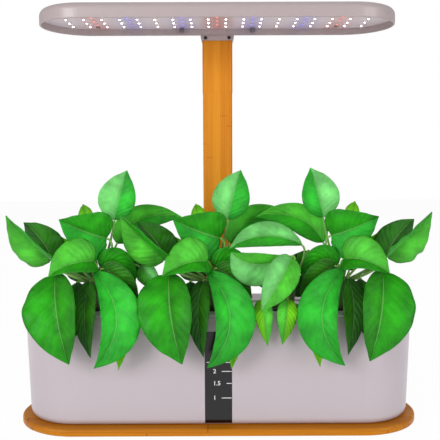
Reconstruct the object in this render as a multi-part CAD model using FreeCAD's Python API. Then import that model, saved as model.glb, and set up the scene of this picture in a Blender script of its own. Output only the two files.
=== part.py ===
import FreeCAD, Part
import math
import os

V = FreeCAD.Vector

# Countertop hydroponic garden, in millimetres.
# Origin: centre of the standing face. +Z is up, -Y is the front and +X is right, seen from the front.

# Base board, bamboo
BOARD_W = 410.0
BOARD_D = 125.0
BOARD_T = 7.0
BOARD_EDGE_R = 2.4
FOOT_R = 7.0
FOOT_PROUD = 1.2
FOOT_RECESS = 0.8
FOOT_X = 150.0
FOOT_Y = 42.0

# Tank, moulded
TANK_W = 392.0
TANK_D = 106.0
TANK_H = 109.0
TANK_FLARE = 3.5
TANK_WALL = 2.5
TANK_BOTTOM_R = 7.5
TANK_INNER_R = 6.0
RIM_R = 0.8

# Level window in the front wall
WINDOW_W = 26.6
WINDOW_Z0 = 2.2
WINDOW_H = 92.6
WINDOW_T = 1.5
WINDOW_GAP = 0.08
SLOT_W = 18.0
SLOT_Z0 = 14.0
SLOT_H = 76.0
SEAL_W = 1.8

# Post, bamboo
POST_W = 32.0
POST_D = 14.0
POST_Y0 = 46.0
POST_CHAMFER = 1.6
POST_GAP = 0.5
UPPER_BELOW_LAMP = 60.9
UPPER_EXTRA = 0.6
WIRE_W = 6.0
WIRE_T = 2.4
WIRE_GAP = 0.3

# Joint of the post sections
TONGUE_W = 16.0
TONGUE_T = 4.0
TONGUE_DOWN = 30.0
TONGUE_UP = 18.0
TONGUE_GAP = 0.1
SLEEVE_WALL = 2.6
SLEEVE_LONGER = 8.0

# Post screws and power inlet
POST_SCREW_R = 1.7
POST_SCREW_HEAD_R = 3.4
POST_SCREW_HEAD_H = 2.2
POST_SCREW_L = 24.0
POST_SCREW_X = 10.0
INLET_Z = 40.0
INLET_R = 4.0
INLET_BORE_R = 2.75
INLET_L = 9.0
INLET_FLANGE_R = 5.6
INLET_FLANGE_T = 1.0
INLET_PIN_R = 1.0

# Planting deck
DECK_T = 3.0
DECK_SKIRT_H = 8.0
DECK_SKIRT_T = 2.0
DECK_GAP = 0.4
HOLE_R = 17.0
HOLE_PITCH = 65.0
ROW_Y = 24.0
COLLAR_T = 1.6
COLLAR_H = 9.0

# Net basket, sponge and cap
FLANGE_R = 19.5
FLANGE_T = 1.6
BASKET_GAP = 0.4
BASKET_DEPTH = 48.0
BASKET_BOTTOM_R = 12.5
BASKET_WALL = 1.4
BASKET_SLOTS = 8
BASKET_SLOT_W = 4.0
BASKET_SLOT_H = 14.0
SPONGE_GAP = 0.3
CAP_T = 1.8
CAP_PLUG_H = 5.0
CAP_PLUG_T = 1.4
CAP_KNOB_R = 5.0
CAP_KNOB_H = 2.6

# Refill port and its lid
PORT_X = 170.0
PORT_W = 26.0
PORT_D = 34.0
PORT_R = 5.0
PORT_NECK_H = 6.0
LID_OVER = 2.5
LID_T = 2.2
LID_PLUG_H = 2.4
LID_PLUG_GAP = 0.9
HINGE_R = 2.0
HINGE_PIN_R = 1.0
HINGE_GAP = 0.05
HINGE_RISE = 0.3
HINGE_EAR_L = 6.0
HINGE_END_GAP = 0.4

# Lamp head
LAMP_W = 359.0
LAMP_D = 94.0
LAMP_RIM_Z = 404.4
LAMP_H = 15.6
LAMP_WALL = 2.0
LAMP_SHOULDER_R = 7.0
LAMP_LEDGE = 1.2
BOARD_RISE = 6.8
LIGHT_BOARD_T = 1.6
LIGHT_BOARD_GAP = 0.3
LED_PITCH = 17.9
LED_COLUMNS = 18
LED_ROWS = 4
LED_Y = 1.4
LED_SIZE = 3.0
LED_H = 0.8
RED_HALF_STEPS = (0, -14, 14)
BLUE_HALF_STEPS = (-4, 4, -10, 10)
BOARD_SCREW_X = 126.4
BOARD_SCREW_Y = 31.5
BOARD_SCREW_R = 1.2
BOARD_SCREW_HEAD_R = 2.3
BOARD_SCREW_HEAD_H = 1.2
STUD_X = 38.0
STUD_Y = 40.0
STUD_R = 2.6
STUD_H = 4.4

# Lamp driver, key switches and push-buttons
DRIVER_W = 90.0
DRIVER_D = 22.0
DRIVER_T = 1.0
DRIVER_Y = -20.0
KEY_X = 14.0
KEY_SIZE = 6.0
KEY_H = 0.8
BUTTON_R = 5.0
BUTTON_GAP = 0.15
BUTTON_PROUD = 1.0
BUTTON_FLANGE = 1.2
BUTTON_FLANGE_T = 1.0
BUTTON_TRAVEL = 0.8

# Lamp bracket
BRACKET_W_TOP = 36.4
BRACKET_W_BOTTOM = 34.0
BRACKET_DROP = 5.4
BRACKET_FRONT_T = 1.5
BRACKET_BACK_T = 2.5
BRACKET_TOP_GAP = 2.0
BRACKET_SEAT_T = 2.0
BRACKET_SCREW_X = 12.7
BRACKET_SCREW_R = 0.9
BRACKET_SCREW_HEAD_R = 1.8
BRACKET_SCREW_HEAD_H = 0.8
REAR_SCREW_X = 11.0
REAR_SCREW_L = 2.8
HEAD_WALL = 3.4
FIT = 0.05

# Circulation pump
PUMP_X = -172.0
PUMP_W = 30.0
PUMP_D = 28.0
PUMP_H = 26.0
PUMP_EDGE_R = 3.0
CUP_R = 4.5
CUP_H = 3.2
CUP_INSET = 6.5
CHAMBER_R = 9.5
CHAMBER_L = 8.0
ROTOR_R = 5.2
ROTOR_L = 11.0
ROTOR_GAP = 0.6
BLADE_R = 8.4
BLADE_T = 1.2
BLADE_L = 6.0
BLADES = 6
HUB_R = 3.2
SHAFT_R = 1.0
SHAFT_GAP = 0.05
SHAFT_SEAT = 2.0
COVER_T = 2.0
COVER_SLOTS = 5
COVER_SLOT_W = 1.6
COVER_SLOT_L = 14.0
NOZZLE_R = 3.6
NOZZLE_BORE_R = 2.4
NOZZLE_H = 14.0

# Pump lead, which runs along the back wall to the post
LEAD_R = 1.6
GROMMET_R = 3.0
GROMMET_FLANGE_R = 4.0
GROMMET_FLANGE_T = 1.2
LEAD_Z = 96.0
LEAD_Y = 49.2
LEAD_EXIT_X = 4.0
LEAD_EXIT_Y = 9.0
LEAD_RISE = 20.0
LEAD_SLANT_X = 18.0
LEAD_SLANT_Y = 36.0
LEAD_SLANT_DROP = 14.0
LEAD_LEVEL_X = 44.0
LEAD_STRAIGHT = 40.0

# Plants
LEAF_T = 1.3
PETIOLE_R = 1.1
STEM_R0 = 12.0
STEM_R1 = 6.5
STEM_H = 32.0
STEM_LEAN_X = 8.0
STEM_LEAN_Y = 4.0

# Heights and places that follow from the sizes above
BOARD_Z = FOOT_PROUD
TANK_Z = BOARD_Z + BOARD_T
FLOOR_Z = TANK_Z + TANK_WALL
RIM_Z = TANK_Z + TANK_H
DECK_Z = RIM_Z + DECK_T
TANK_R0 = TANK_D / 2
TANK_R1 = TANK_R0 + TANK_FLARE
TANK_HALF = TANK_W / 2 - TANK_R0
POST_Y1 = POST_Y0 + POST_D
POST_Y = (POST_Y0 + POST_Y1) / 2
LAMP_R = LAMP_D / 2
LAMP_HALF = LAMP_W / 2 - LAMP_R
LAMP_TOP_Z = LAMP_RIM_Z + LAMP_H
SEAM_Z = LAMP_RIM_Z - UPPER_BELOW_LAMP
CEILING_Z = LAMP_TOP_Z - LAMP_WALL
PLATE_Z = LAMP_RIM_Z + BOARD_RISE
PLATE_TOP_Z = PLATE_Z + LIGHT_BOARD_T
POST_TOP_Z = LAMP_TOP_Z - BRACKET_TOP_GAP - BRACKET_SEAT_T
FRONT_PODS = [(step * HOLE_PITCH, -ROW_Y) for step in (-2, -1, 0, 1, 2)]
BACK_PODS = [(step * HOLE_PITCH / 2, ROW_Y) for step in (-3, -1, 1, 3)]
STEM_TOP = V(STEM_LEAN_X, -STEM_LEAN_Y, STEM_H)
PLANTED = FRONT_PODS[:1] + FRONT_PODS[2:]
CAPPED = FRONT_PODS[1:2] + BACK_PODS


def box(x0, x1, y0, y1, z0, z1):
    return Part.makeBox(x1 - x0, y1 - y0, z1 - z0, V(x0, y0, z0))


def rod(radius, start, end):
    return Part.makeCylinder(radius, (end - start).Length, start, end - start)


def compound(shapes):
    return Part.makeCompound(shapes)


def save(shape, node):
    shape.exportStep("parts/" + node + ".step")


def corner_points(before, at, after, radius):
    """Where a round of that radius leaves the first line and meets the second, and its middle."""
    back = (before - at).normalize()
    onward = (after - at).normalize()
    half = math.acos(max(-1.0, min(1.0, back.dot(onward)))) / 2
    reach = radius / math.tan(half)
    middle = (back + onward).normalize() * (radius / math.sin(half) - radius)
    return at + back * reach, at + middle, at + onward * reach


def outline(points):
    """A closed wire through (across, up, corner radius) points, as vectors in the plane X = 0."""
    flat = [V(0, across, up) for across, up, _ in points]
    edges = []
    ends = []
    for i, (_, _, radius) in enumerate(points):
        at = flat[i]
        if radius > 0:
            enter, middle, leave = corner_points(flat[i - 1], at, flat[(i + 1) % len(flat)], radius)
            ends.append((enter, leave))
            edges.append(Part.Arc(enter, middle, leave).toShape())
        else:
            ends.append((at, at))
    for i, (_, leave) in enumerate(ends):
        enter = ends[(i + 1) % len(ends)][0]
        if leave.distanceToPoint(enter) > 1e-6:
            edges.append(Part.LineSegment(leave, enter).toShape())
    return Part.Wire(Part.__sortEdges__(edges))


def stadium(points, half):
    """A half section with its axis at across = 0, run round a stadium whose end centres are at +-half."""
    face = Part.Face(outline(points))
    across = face.copy()
    across.translate(V(-half, 0, 0))
    mirrored = across.mirror(V(0, 0, 0), V(0, 1, 0))
    run = V(2 * half, 0, 0)
    left = across.revolve(V(-half, 0, 0), V(0, 0, 1), 180)
    right_face = mirrored.copy()
    right_face.translate(run)
    right = right_face.revolve(V(half, 0, 0), V(0, 0, 1), 180)
    whole = left.fuse([right, across.extrude(run), mirrored.extrude(run)])
    return whole.removeSplitter().Solids[0]


def rounded_plate(w, d, r, z0, z1, cx=0.0, cy=0.0):
    """A plate with upright rounded corners."""
    plate = box(cx - w / 2, cx + w / 2, cy - d / 2, cy + d / 2, z0, z1)
    upright = [e for e in plate.Edges if abs(e.tangentAt(e.FirstParameter).z) > 0.9]
    return plate.makeFillet(r, upright)


def turned(points):
    """A solid of revolution about Z from (radius, up) points."""
    line = [V(radius, 0, up) for radius, up in points]
    face = Part.Face(Part.makePolygon(line + [line[0]]))
    return face.revolve(V(0, 0, 0), V(0, 0, 1), 360)


def moved(shape, x, y, z=0.0):
    copy = shape.copy()
    copy.translate(V(x, y, z))
    return copy


def channel(gap, z0, z1):
    """The upright space at the back that the post stands in, grown by a gap."""
    return box(-POST_W / 2 - gap, POST_W / 2 + gap, POST_Y0 - gap, BOARD_D, z0, z1)


# Base board and its feet


def foot_places():
    return [(0, 0)] + [(x, y) for x in (-FOOT_X, FOOT_X) for y in (-FOOT_Y, FOOT_Y)]


def post_screw(x):
    head = Part.makeCone(POST_SCREW_HEAD_R, POST_SCREW_R, POST_SCREW_HEAD_H, V(x, POST_Y, BOARD_Z + 0.4))
    shank = rod(POST_SCREW_R, V(x, POST_Y, BOARD_Z + 0.4), V(x, POST_Y, BOARD_Z + POST_SCREW_L))
    return head.fuse(shank)


def make_board():
    r = BOARD_D / 2
    top = BOARD_Z + BOARD_T
    points = [(0, BOARD_Z, 0), (r, BOARD_Z, 1.2), (r, top, BOARD_EDGE_R), (0, top, 0)]
    board = stadium(points, BOARD_W / 2 - r)
    for x, y in foot_places():
        board = board.cut(rod(FOOT_R, V(x, y, BOARD_Z - 1), V(x, y, BOARD_Z + FOOT_RECESS)))
    for x in (-POST_SCREW_X, POST_SCREW_X):
        well = rod(POST_SCREW_HEAD_R, V(x, POST_Y, BOARD_Z - 1), V(x, POST_Y, BOARD_Z + 0.4))
        board = board.cut([well, post_screw(x)])
    return board


def make_foot_pads():
    pads = []
    for x, y in foot_places():
        pad = rod(FOOT_R, V(x, y, 0), V(x, y, FOOT_PROUD + FOOT_RECESS))
        pads.append(pad.makeFillet(0.5, [pad.Edges[2]]))
    return compound(pads)


# Tank with its window


def tank_outer(inset=0.0):
    """The outer form of the tank, or the same form a little further in."""
    slope = TANK_FLARE / TANK_H
    r0 = TANK_R0 - inset
    r1 = TANK_R1 - inset
    low = TANK_Z + inset
    bottom_r = TANK_BOTTOM_R - inset
    return stadium([(0, low, 0), (r0 + slope * inset, low, bottom_r), (r1, RIM_Z, 0), (0, RIM_Z, 0)], TANK_HALF)


def tank_cavity():
    low = FLOOR_Z
    r0 = TANK_R0 - TANK_WALL
    r1 = TANK_R1 - TANK_WALL
    return stadium([(0, low, 0), (r0, low, TANK_INNER_R), (r1, RIM_Z, 0), (0, RIM_Z, 0)], TANK_HALF)


def window_box(grow):
    low = TANK_Z + WINDOW_Z0
    half = WINDOW_W / 2
    return box(-half - grow, half + grow, -BOARD_D, 0, low - grow, low + WINDOW_H + grow)


def slot_box(inset):
    low = TANK_Z + SLOT_Z0
    half = SLOT_W / 2 - inset
    return box(-half, half, -BOARD_D, 0, low + inset, low + SLOT_H - inset)


def make_tank_and_window():
    outer = tank_outer()
    cavity = tank_cavity()
    skin = outer.cut(tank_outer(WINDOW_T))
    liner = channel(POST_GAP + TANK_WALL, TANK_Z, RIM_Z).common(outer)
    tank = outer.cut(cavity).fuse(liner).cut(channel(POST_GAP, 0, RIM_Z + 1))
    tank = tank.cut([skin.common(window_box(WINDOW_GAP)), slot_box(0), lead_hole()])
    rim = [e for e in tank.Edges if abs(e.BoundBox.ZMin - RIM_Z) < 1e-6 and e.BoundBox.YMax < POST_Y0 - 6]
    tank = tank.makeFillet(RIM_R, rim)
    window = skin.common(window_box(0))
    behind = tank_outer(WINDOW_T).cut(cavity)
    seal = behind.common(slot_box(0)).cut(slot_box(SEAL_W))
    return tank.Solids[0], window, seal


def lead_hole():
    side = -POST_W / 2 - POST_GAP
    return rod(GROMMET_R, V(side - TANK_WALL - 1, LEAD_Y, LEAD_Z), V(side + 1, LEAD_Y, LEAD_Z))


# Post


def post_prism(z0, z1, grow=0.0):
    half = POST_W / 2 + grow
    c = POST_CHAMFER
    y0 = POST_Y0 - grow
    y1 = POST_Y1 + grow
    corners = [(-half + c, y0), (half - c, y0), (half, y0 + c), (half, y1 - c),
               (half - c, y1), (-half + c, y1), (-half, y1 - c), (-half, y0 + c)]
    line = [V(x, y, z0) for x, y in corners]
    return Part.Face(Part.makePolygon(line + [line[0]])).extrude(V(0, 0, z1 - z0))


def sleeve_box(grow, z0, z1):
    half_w = TONGUE_W / 2 + TONGUE_GAP + grow
    half_t = TONGUE_T / 2 + TONGUE_GAP + grow
    return box(-half_w, half_w, POST_Y - half_t, POST_Y + half_t, z0, z1)


def tongue_box(grow, z0, z1):
    return box(-TONGUE_W / 2 - grow, TONGUE_W / 2 + grow, POST_Y - TONGUE_T / 2 - grow,
               POST_Y + TONGUE_T / 2 + grow, z0, z1)


def wire_box(grow, z0, z1):
    return box(-WIRE_W / 2 - grow, WIRE_W / 2 + grow, POST_Y - WIRE_T / 2 - grow,
               POST_Y + WIRE_T / 2 + grow, z0, z1)


SLEEVE_Z = SEAM_Z - TONGUE_DOWN - SLEEVE_LONGER


def make_post_lower():
    post = post_prism(TANK_Z, SEAM_Z)
    post = post.cut(sleeve_box(SLEEVE_WALL, SLEEVE_Z, SEAM_Z + 1))
    post = post.cut(wire_box(WIRE_GAP, INLET_Z - WIRE_W / 2, SLEEVE_Z + 1))
    post = post.cut([post_screw(x) for x in (-POST_SCREW_X, POST_SCREW_X)])
    back = POST_Y1
    inlet = rod(INLET_R, V(0, back - INLET_L, INLET_Z), V(0, back + 1, INLET_Z))
    side = V(-POST_W / 2, LEAD_Y, LEAD_Z)
    lead = rod(LEAD_R, side - V(1, 0, 0), side + V(POST_W / 2 - WIRE_W / 2, 0, 0))
    return post.cut([inlet, lead])


def make_sleeve():
    sleeve = sleeve_box(SLEEVE_WALL, SLEEVE_Z, SEAM_Z)
    return sleeve.cut(sleeve_box(0, SEAM_Z - TONGUE_DOWN - 2, SEAM_Z + 1))


def make_tongue():
    tongue = tongue_box(0, SEAM_Z - TONGUE_DOWN, SEAM_Z + TONGUE_UP)
    lower = [e for e in tongue.Edges if abs(e.BoundBox.ZMax - (SEAM_Z - TONGUE_DOWN)) < 1e-6]
    return tongue.makeChamfer(0.8, lower)


def make_post_upper():
    post = post_prism(SEAM_Z, POST_TOP_Z, UPPER_EXTRA / 2)
    post = post.cut([tongue_box(0, SEAM_Z - 1, SEAM_Z + TONGUE_UP), head_step(0),
                     wire_box(WIRE_GAP, SEAM_Z, POST_TOP_Z + 1), wire_pass()])
    return post.cut(bracket_front_screws()).Solids[0]


def head_step(grow):
    """The space in front of the post head, where the back wall of the lamp stands."""
    return box(-POST_W, POST_W, 0, LAMP_R + HEAD_WALL - grow, LAMP_RIM_Z - FIT + grow, POST_TOP_Z + 1)


def make_inlet():
    back = POST_Y1
    body = rod(INLET_R, V(0, back - INLET_L, INLET_Z), V(0, back, INLET_Z))
    flange = rod(INLET_FLANGE_R, V(0, back, INLET_Z), V(0, back + INLET_FLANGE_T, INLET_Z))
    bore = rod(INLET_BORE_R, V(0, back - INLET_L + 1.5, INLET_Z), V(0, back + 5, INLET_Z))
    return body.fuse(flange).cut(bore).removeSplitter()


def make_inlet_pin():
    back = POST_Y1
    pin = rod(INLET_PIN_R, V(0, back - INLET_L + 1.5, INLET_Z), V(0, back - 0.5, INLET_Z))
    return pin


def make_upper_wires():
    up = wire_box(0, SEAM_Z + TONGUE_UP, CEILING_Z - 1.4)
    y1 = POST_Y + WIRE_T / 2
    across = box(-WIRE_W / 2, WIRE_W / 2, LAMP_R - 12, y1, PLATE_TOP_Z, CEILING_Z - 1.4)
    return up.fuse(across).removeSplitter()


def wire_pass():
    """The way that the wires take out of the post head, through the bracket and into the lamp."""
    g = WIRE_GAP
    up = wire_box(g, LAMP_RIM_Z, CEILING_Z - 1.4 + g)
    across = box(-WIRE_W / 2 - g, WIRE_W / 2 + g, LAMP_R - 12, POST_Y, PLATE_TOP_Z, CEILING_Z - 1.4 + g)
    return up.fuse(across)


# Planting deck, baskets and caps

LID_HINGE_Y = PORT_D / 2 + LID_OVER + HINGE_R + 1.2
LID_HINGE_Z = DECK_Z + HINGE_R + HINGE_RISE


def make_deck():
    skirt_r = TANK_R1 - TANK_WALL - DECK_GAP
    low = RIM_Z - DECK_SKIRT_H
    points = [(0, RIM_Z, 0), (skirt_r - DECK_SKIRT_T, RIM_Z, 0), (skirt_r - DECK_SKIRT_T, low, 0),
              (skirt_r - DECK_GAP, low, 0), (skirt_r, RIM_Z, 0), (TANK_R1, RIM_Z, 0),
              (TANK_R1, DECK_Z, 1.2), (0, DECK_Z, 0)]
    deck = stadium(points, TANK_HALF)
    inner_post = channel(POST_GAP + TANK_WALL + DECK_GAP, low - 1, RIM_Z)
    deck = deck.cut([inner_post, channel(POST_GAP, 0, DECK_Z + 1)])
    collars = []
    holes = []
    for x, y in FRONT_PODS + BACK_PODS:
        collars.append(rod(HOLE_R + COLLAR_T, V(x, y, RIM_Z - COLLAR_H), V(x, y, RIM_Z)))
        holes.append(rod(HOLE_R, V(x, y, 0), V(x, y, DECK_Z + 1)))
    neck = rounded_plate(PORT_W + 2 * COLLAR_T, PORT_D + 2 * COLLAR_T, PORT_R + COLLAR_T,
                         RIM_Z - PORT_NECK_H, RIM_Z, PORT_X)
    port = rounded_plate(PORT_W, PORT_D, PORT_R, 0, DECK_Z + 1, PORT_X)
    deck = deck.fuse(collars + [neck]).cut(holes + [port])
    ears = []
    for side in (-1, 1):
        ear = hinge_knuckle(PORT_X + side * (PORT_W / 2 - HINGE_EAR_L / 2), HINGE_EAR_L, DECK_Z, HINGE_R)
        ears.append(ear)
    pin_hole = hinge_rod(HINGE_PIN_R, PORT_W)
    return deck.fuse(ears).cut(pin_hole).removeSplitter()


def hinge_rod(radius, length):
    start = V(PORT_X - length / 2, LID_HINGE_Y, LID_HINGE_Z)
    return rod(radius, start, start + V(length, 0, 0))


def hinge_knuckle(x, length, base_z, radius):
    """A round ear on an upright foot."""
    start = V(x - length / 2, LID_HINGE_Y, LID_HINGE_Z)
    ear = rod(radius, start, start + V(length, 0, 0))
    foot = box(x - length / 2, x + length / 2, LID_HINGE_Y - radius, LID_HINGE_Y + radius, base_z, LID_HINGE_Z)
    return ear.fuse(foot)


def make_lid():
    w = PORT_W + 2 * LID_OVER
    d = PORT_D + 2 * LID_OVER
    lid = rounded_plate(w, d, PORT_R + LID_OVER, DECK_Z, DECK_Z + LID_T, PORT_X)
    plug_w = PORT_W - 2 * LID_PLUG_GAP
    plug_d = PORT_D - 2 * LID_PLUG_GAP
    plug = rounded_plate(plug_w, plug_d, PORT_R - LID_PLUG_GAP, DECK_Z - LID_PLUG_H, DECK_Z, PORT_X)
    hollow = rounded_plate(plug_w - 3, plug_d - 3, PORT_R - LID_PLUG_GAP - 1.5,
                           DECK_Z - LID_PLUG_H - 1, DECK_Z, PORT_X)
    length = PORT_W - 2 * HINGE_EAR_L - 2 * HINGE_END_GAP
    start = V(PORT_X - length / 2, LID_HINGE_Y, LID_HINGE_Z)
    knuckle = rod(HINGE_R, start, start + V(length, 0, 0))
    arm = box(PORT_X - length / 2, PORT_X + length / 2, d / 2 - 3, LID_HINGE_Y, DECK_Z + HINGE_RISE, DECK_Z + LID_T)
    tab = rounded_plate(14, 5, 1.5, DECK_Z, DECK_Z + LID_T, PORT_X, -d / 2 - 1.5)
    lid = lid.fuse([plug, knuckle, arm, tab]).cut([hollow, hinge_rod(HINGE_PIN_R + HINGE_GAP, PORT_W)])
    return lid.removeSplitter()


def make_basket():
    """One basket about its own axis, hung from the deck by its flange."""
    top = DECK_Z
    low = top - BASKET_DEPTH
    r = HOLE_R - BASKET_GAP
    t = BASKET_WALL
    shell = turned([(0, low), (BASKET_BOTTOM_R, low), (r, top), (FLANGE_R, top), (FLANGE_R, top + FLANGE_T),
                    (r - t, top + FLANGE_T), (r - t, top), (BASKET_BOTTOM_R - t, low + t), (0, low + t)])
    cuts = []
    for ring in range(2):
        z = low + 6 + ring * (BASKET_SLOT_H + 4)
        for i in range(BASKET_SLOTS):
            slot = box(5, FLANGE_R, -BASKET_SLOT_W / 2, BASKET_SLOT_W / 2, z, z + BASKET_SLOT_H)
            slot.rotate(V(0, 0, 0), V(0, 0, 1), 360 * i / BASKET_SLOTS)
            cuts.append(slot)
    for i in range(6):
        angle = math.radians(60 * i)
        at = V(7 * math.cos(angle), 7 * math.sin(angle), low - 1)
        cuts.append(rod(1.8, at, at + V(0, 0, t + 2)))
    return shell.cut(cuts)


def make_sponge():
    low = DECK_Z - BASKET_DEPTH + BASKET_WALL
    top = DECK_Z - 2
    g = BASKET_WALL + SPONGE_GAP
    slope = (HOLE_R - BASKET_GAP - BASKET_BOTTOM_R) / BASKET_DEPTH
    return Part.makeCone(BASKET_BOTTOM_R - g, BASKET_BOTTOM_R - g + slope * (top - low), top - low, V(0, 0, low))


def make_cap():
    """One cap about its own axis: a plate with a plug ring below and a finger knob above."""
    z = DECK_Z
    r = HOLE_R - BASKET_GAP
    cap = turned([(0, z), (r - CAP_PLUG_T, z), (r - CAP_PLUG_T, z - CAP_PLUG_H), (r, z - CAP_PLUG_H), (r, z),
                  (FLANGE_R, z), (FLANGE_R, z + CAP_T - 0.6), (FLANGE_R - 0.6, z + CAP_T),
                  (CAP_KNOB_R, z + CAP_T), (CAP_KNOB_R - 1, z + CAP_T + CAP_KNOB_H),
                  (0, z + CAP_T + CAP_KNOB_H)])
    return cap


# Lamp head


def lamp_wall_profile():
    r = LAMP_R
    inner = r - LAMP_WALL
    ledge = inner - LAMP_LEDGE
    return [(0, CEILING_Z, 0), (ledge, CEILING_Z, 2), (ledge, PLATE_TOP_Z, 0), (inner, PLATE_TOP_Z, 0),
            (inner, LAMP_RIM_Z, 0.6), (r, LAMP_RIM_Z, 0.9), (r, LAMP_TOP_Z, LAMP_SHOULDER_R),
            (0, LAMP_TOP_Z, 0)]


def board_screw_places():
    return [(-BOARD_SCREW_X, BOARD_SCREW_Y), (BOARD_SCREW_X, BOARD_SCREW_Y)]


def button_places():
    return [(-KEY_X, DRIVER_Y), (KEY_X, DRIVER_Y)]


def rear_screws():
    """Two short screws that pass out through the back wall of the lamp into the bracket."""
    z = (PLATE_TOP_Z + CEILING_Z) / 2
    y = LAMP_R - LAMP_WALL - LAMP_LEDGE
    screws = []
    for x in (-REAR_SCREW_X, REAR_SCREW_X):
        shank = rod(BRACKET_SCREW_R, V(x, y, z), V(x, y + LAMP_WALL + LAMP_LEDGE + REAR_SCREW_L, z))
        head = rod(1.6, V(x, y - BRACKET_SCREW_HEAD_H, z), V(x, y, z))
        screws.append(head.fuse(shank).removeSplitter())
    return screws


def bracket_front_screws():
    z = LAMP_RIM_Z - BRACKET_DROP / 2
    y = POST_Y0 - BRACKET_FRONT_T - UPPER_EXTRA / 2
    screws = []
    for x in (-BRACKET_SCREW_X, BRACKET_SCREW_X):
        head = rod(BRACKET_SCREW_HEAD_R, V(x, y - BRACKET_SCREW_HEAD_H, z), V(x, y, z))
        shank = rod(BRACKET_SCREW_R, V(x, y, z), V(x, y + 9, z))
        screws.append(head.fuse(shank).removeSplitter())
    return screws


def make_housing():
    housing = stadium(lamp_wall_profile(), LAMP_HALF)
    bosses = []
    cuts = [wire_pass()] + rear_screws()
    for x, y in board_screw_places():
        bosses.append(rod(3.2, V(x, y, PLATE_TOP_Z), V(x, y, CEILING_Z)))
        cuts.append(rod(BOARD_SCREW_R, V(x, y, PLATE_TOP_Z), V(x, y, CEILING_Z - 0.6)))
    for x, y in button_places():
        cuts.append(rod(BUTTON_R + BUTTON_GAP, V(x, y, CEILING_Z - 1), V(x, y, LAMP_TOP_Z + 1)))
    return housing.fuse(bosses).cut(cuts).removeSplitter()


def make_light_board():
    r = LAMP_R - LAMP_WALL - LIGHT_BOARD_GAP
    board = stadium([(0, PLATE_Z, 0), (r, PLATE_Z, 0), (r, PLATE_TOP_Z, 0), (0, PLATE_TOP_Z, 0)], LAMP_HALF)
    holes = [rod(BOARD_SCREW_R, V(x, y, PLATE_Z - 1), V(x, y, PLATE_TOP_Z + 1)) for x, y in board_screw_places()]
    return board.cut(holes)


def led(x, y, size=LED_SIZE):
    chip = box(x - size / 2, x + size / 2, y - size / 2, y + size / 2, PLATE_Z - LED_H, PLATE_Z)
    return chip


def row_places(count):
    return [LED_Y + (i - (count - 1) / 2) * LED_PITCH for i in range(count)]


def make_white_leds():
    columns = [(i - (LED_COLUMNS - 1) / 2) * LED_PITCH for i in range(LED_COLUMNS)]
    return compound([led(x, y) for x in columns for y in row_places(LED_ROWS)])


def make_coloured_leds(half_steps):
    """Coloured lights stand in the middle of four white ones."""
    return compound([led(k * LED_PITCH / 2, y) for k in half_steps for y in row_places(LED_ROWS - 1)])


def make_board_screws():
    screws = []
    for x, y in board_screw_places():
        head = rod(BOARD_SCREW_HEAD_R, V(x, y, PLATE_Z - BOARD_SCREW_HEAD_H), V(x, y, PLATE_Z))
        shank = rod(BOARD_SCREW_R, V(x, y, PLATE_Z), V(x, y, CEILING_Z - 0.8))
        screws.append(head.fuse(shank).removeSplitter())
    return compound(screws)


def make_studs():
    studs = []
    for x in (-STUD_X, STUD_X):
        stud = rod(STUD_R, V(x, STUD_Y, PLATE_Z - STUD_H), V(x, STUD_Y, PLATE_Z))
        low = [e for e in stud.Edges if e.BoundBox.ZMax < PLATE_Z - STUD_H + 0.01]
        studs.append(stud.makeFillet(0.5, low))
    return compound(studs)


def make_driver():
    half_w = DRIVER_W / 2
    half_d = DRIVER_D / 2
    return box(-half_w, half_w, DRIVER_Y - half_d, DRIVER_Y + half_d, PLATE_TOP_Z, PLATE_TOP_Z + DRIVER_T)


def make_key_switches():
    low = PLATE_TOP_Z + DRIVER_T
    half = KEY_SIZE / 2
    return compound([box(x - half, x + half, y - half, y + half, low, low + KEY_H) for x, y in button_places()])


def make_button(x, y):
    low = PLATE_TOP_Z + DRIVER_T + KEY_H + BUTTON_TRAVEL
    flange = rod(BUTTON_R + BUTTON_FLANGE, V(x, y, low), V(x, y, low + BUTTON_FLANGE_T))
    cap = rod(BUTTON_R, V(x, y, low), V(x, y, LAMP_TOP_Z + BUTTON_PROUD))
    top = [e for e in cap.Edges if e.BoundBox.ZMin > LAMP_TOP_Z + BUTTON_PROUD - 0.01]
    return cap.makeFillet(0.6, top).fuse(flange).removeSplitter()


def make_bracket():
    low = LAMP_RIM_Z - BRACKET_DROP
    top = LAMP_TOP_Z - BRACKET_TOP_GAP
    grow = UPPER_EXTRA / 2
    y0 = POST_Y0 - grow - BRACKET_FRONT_T
    y1 = POST_Y1 + grow + BRACKET_BACK_T
    wide = BRACKET_W_TOP / 2
    narrow = BRACKET_W_BOTTOM / 2
    line = [V(-narrow, y0, low), V(narrow, y0, low), V(wide, y0, LAMP_RIM_Z), V(-wide, y0, LAMP_RIM_Z)]
    collar = Part.Face(Part.makePolygon(line + [line[0]])).extrude(V(0, y1 - y0, 0))
    behind = box(-wide, wide, LAMP_R, y1, LAMP_RIM_Z, top)
    pocket = post_prism(low - 1, POST_TOP_Z, grow + FIT).cut(head_step(FIT))
    bracket = collar.fuse(behind).removeSplitter().cut([pocket, wire_pass()] + rear_screws())
    return bracket.cut(bracket_front_screws())


# Circulation pump, on the tank floor at the left end

PUMP_Z = FLOOR_Z + CUP_H
AXIS_Z = PUMP_Z + PUMP_H / 2
FRONT_Y = -PUMP_D / 2


def pump_rod(radius, y0, y1):
    return rod(radius, V(PUMP_X, y0, AXIS_Z), V(PUMP_X, y1, AXIS_Z))


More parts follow.
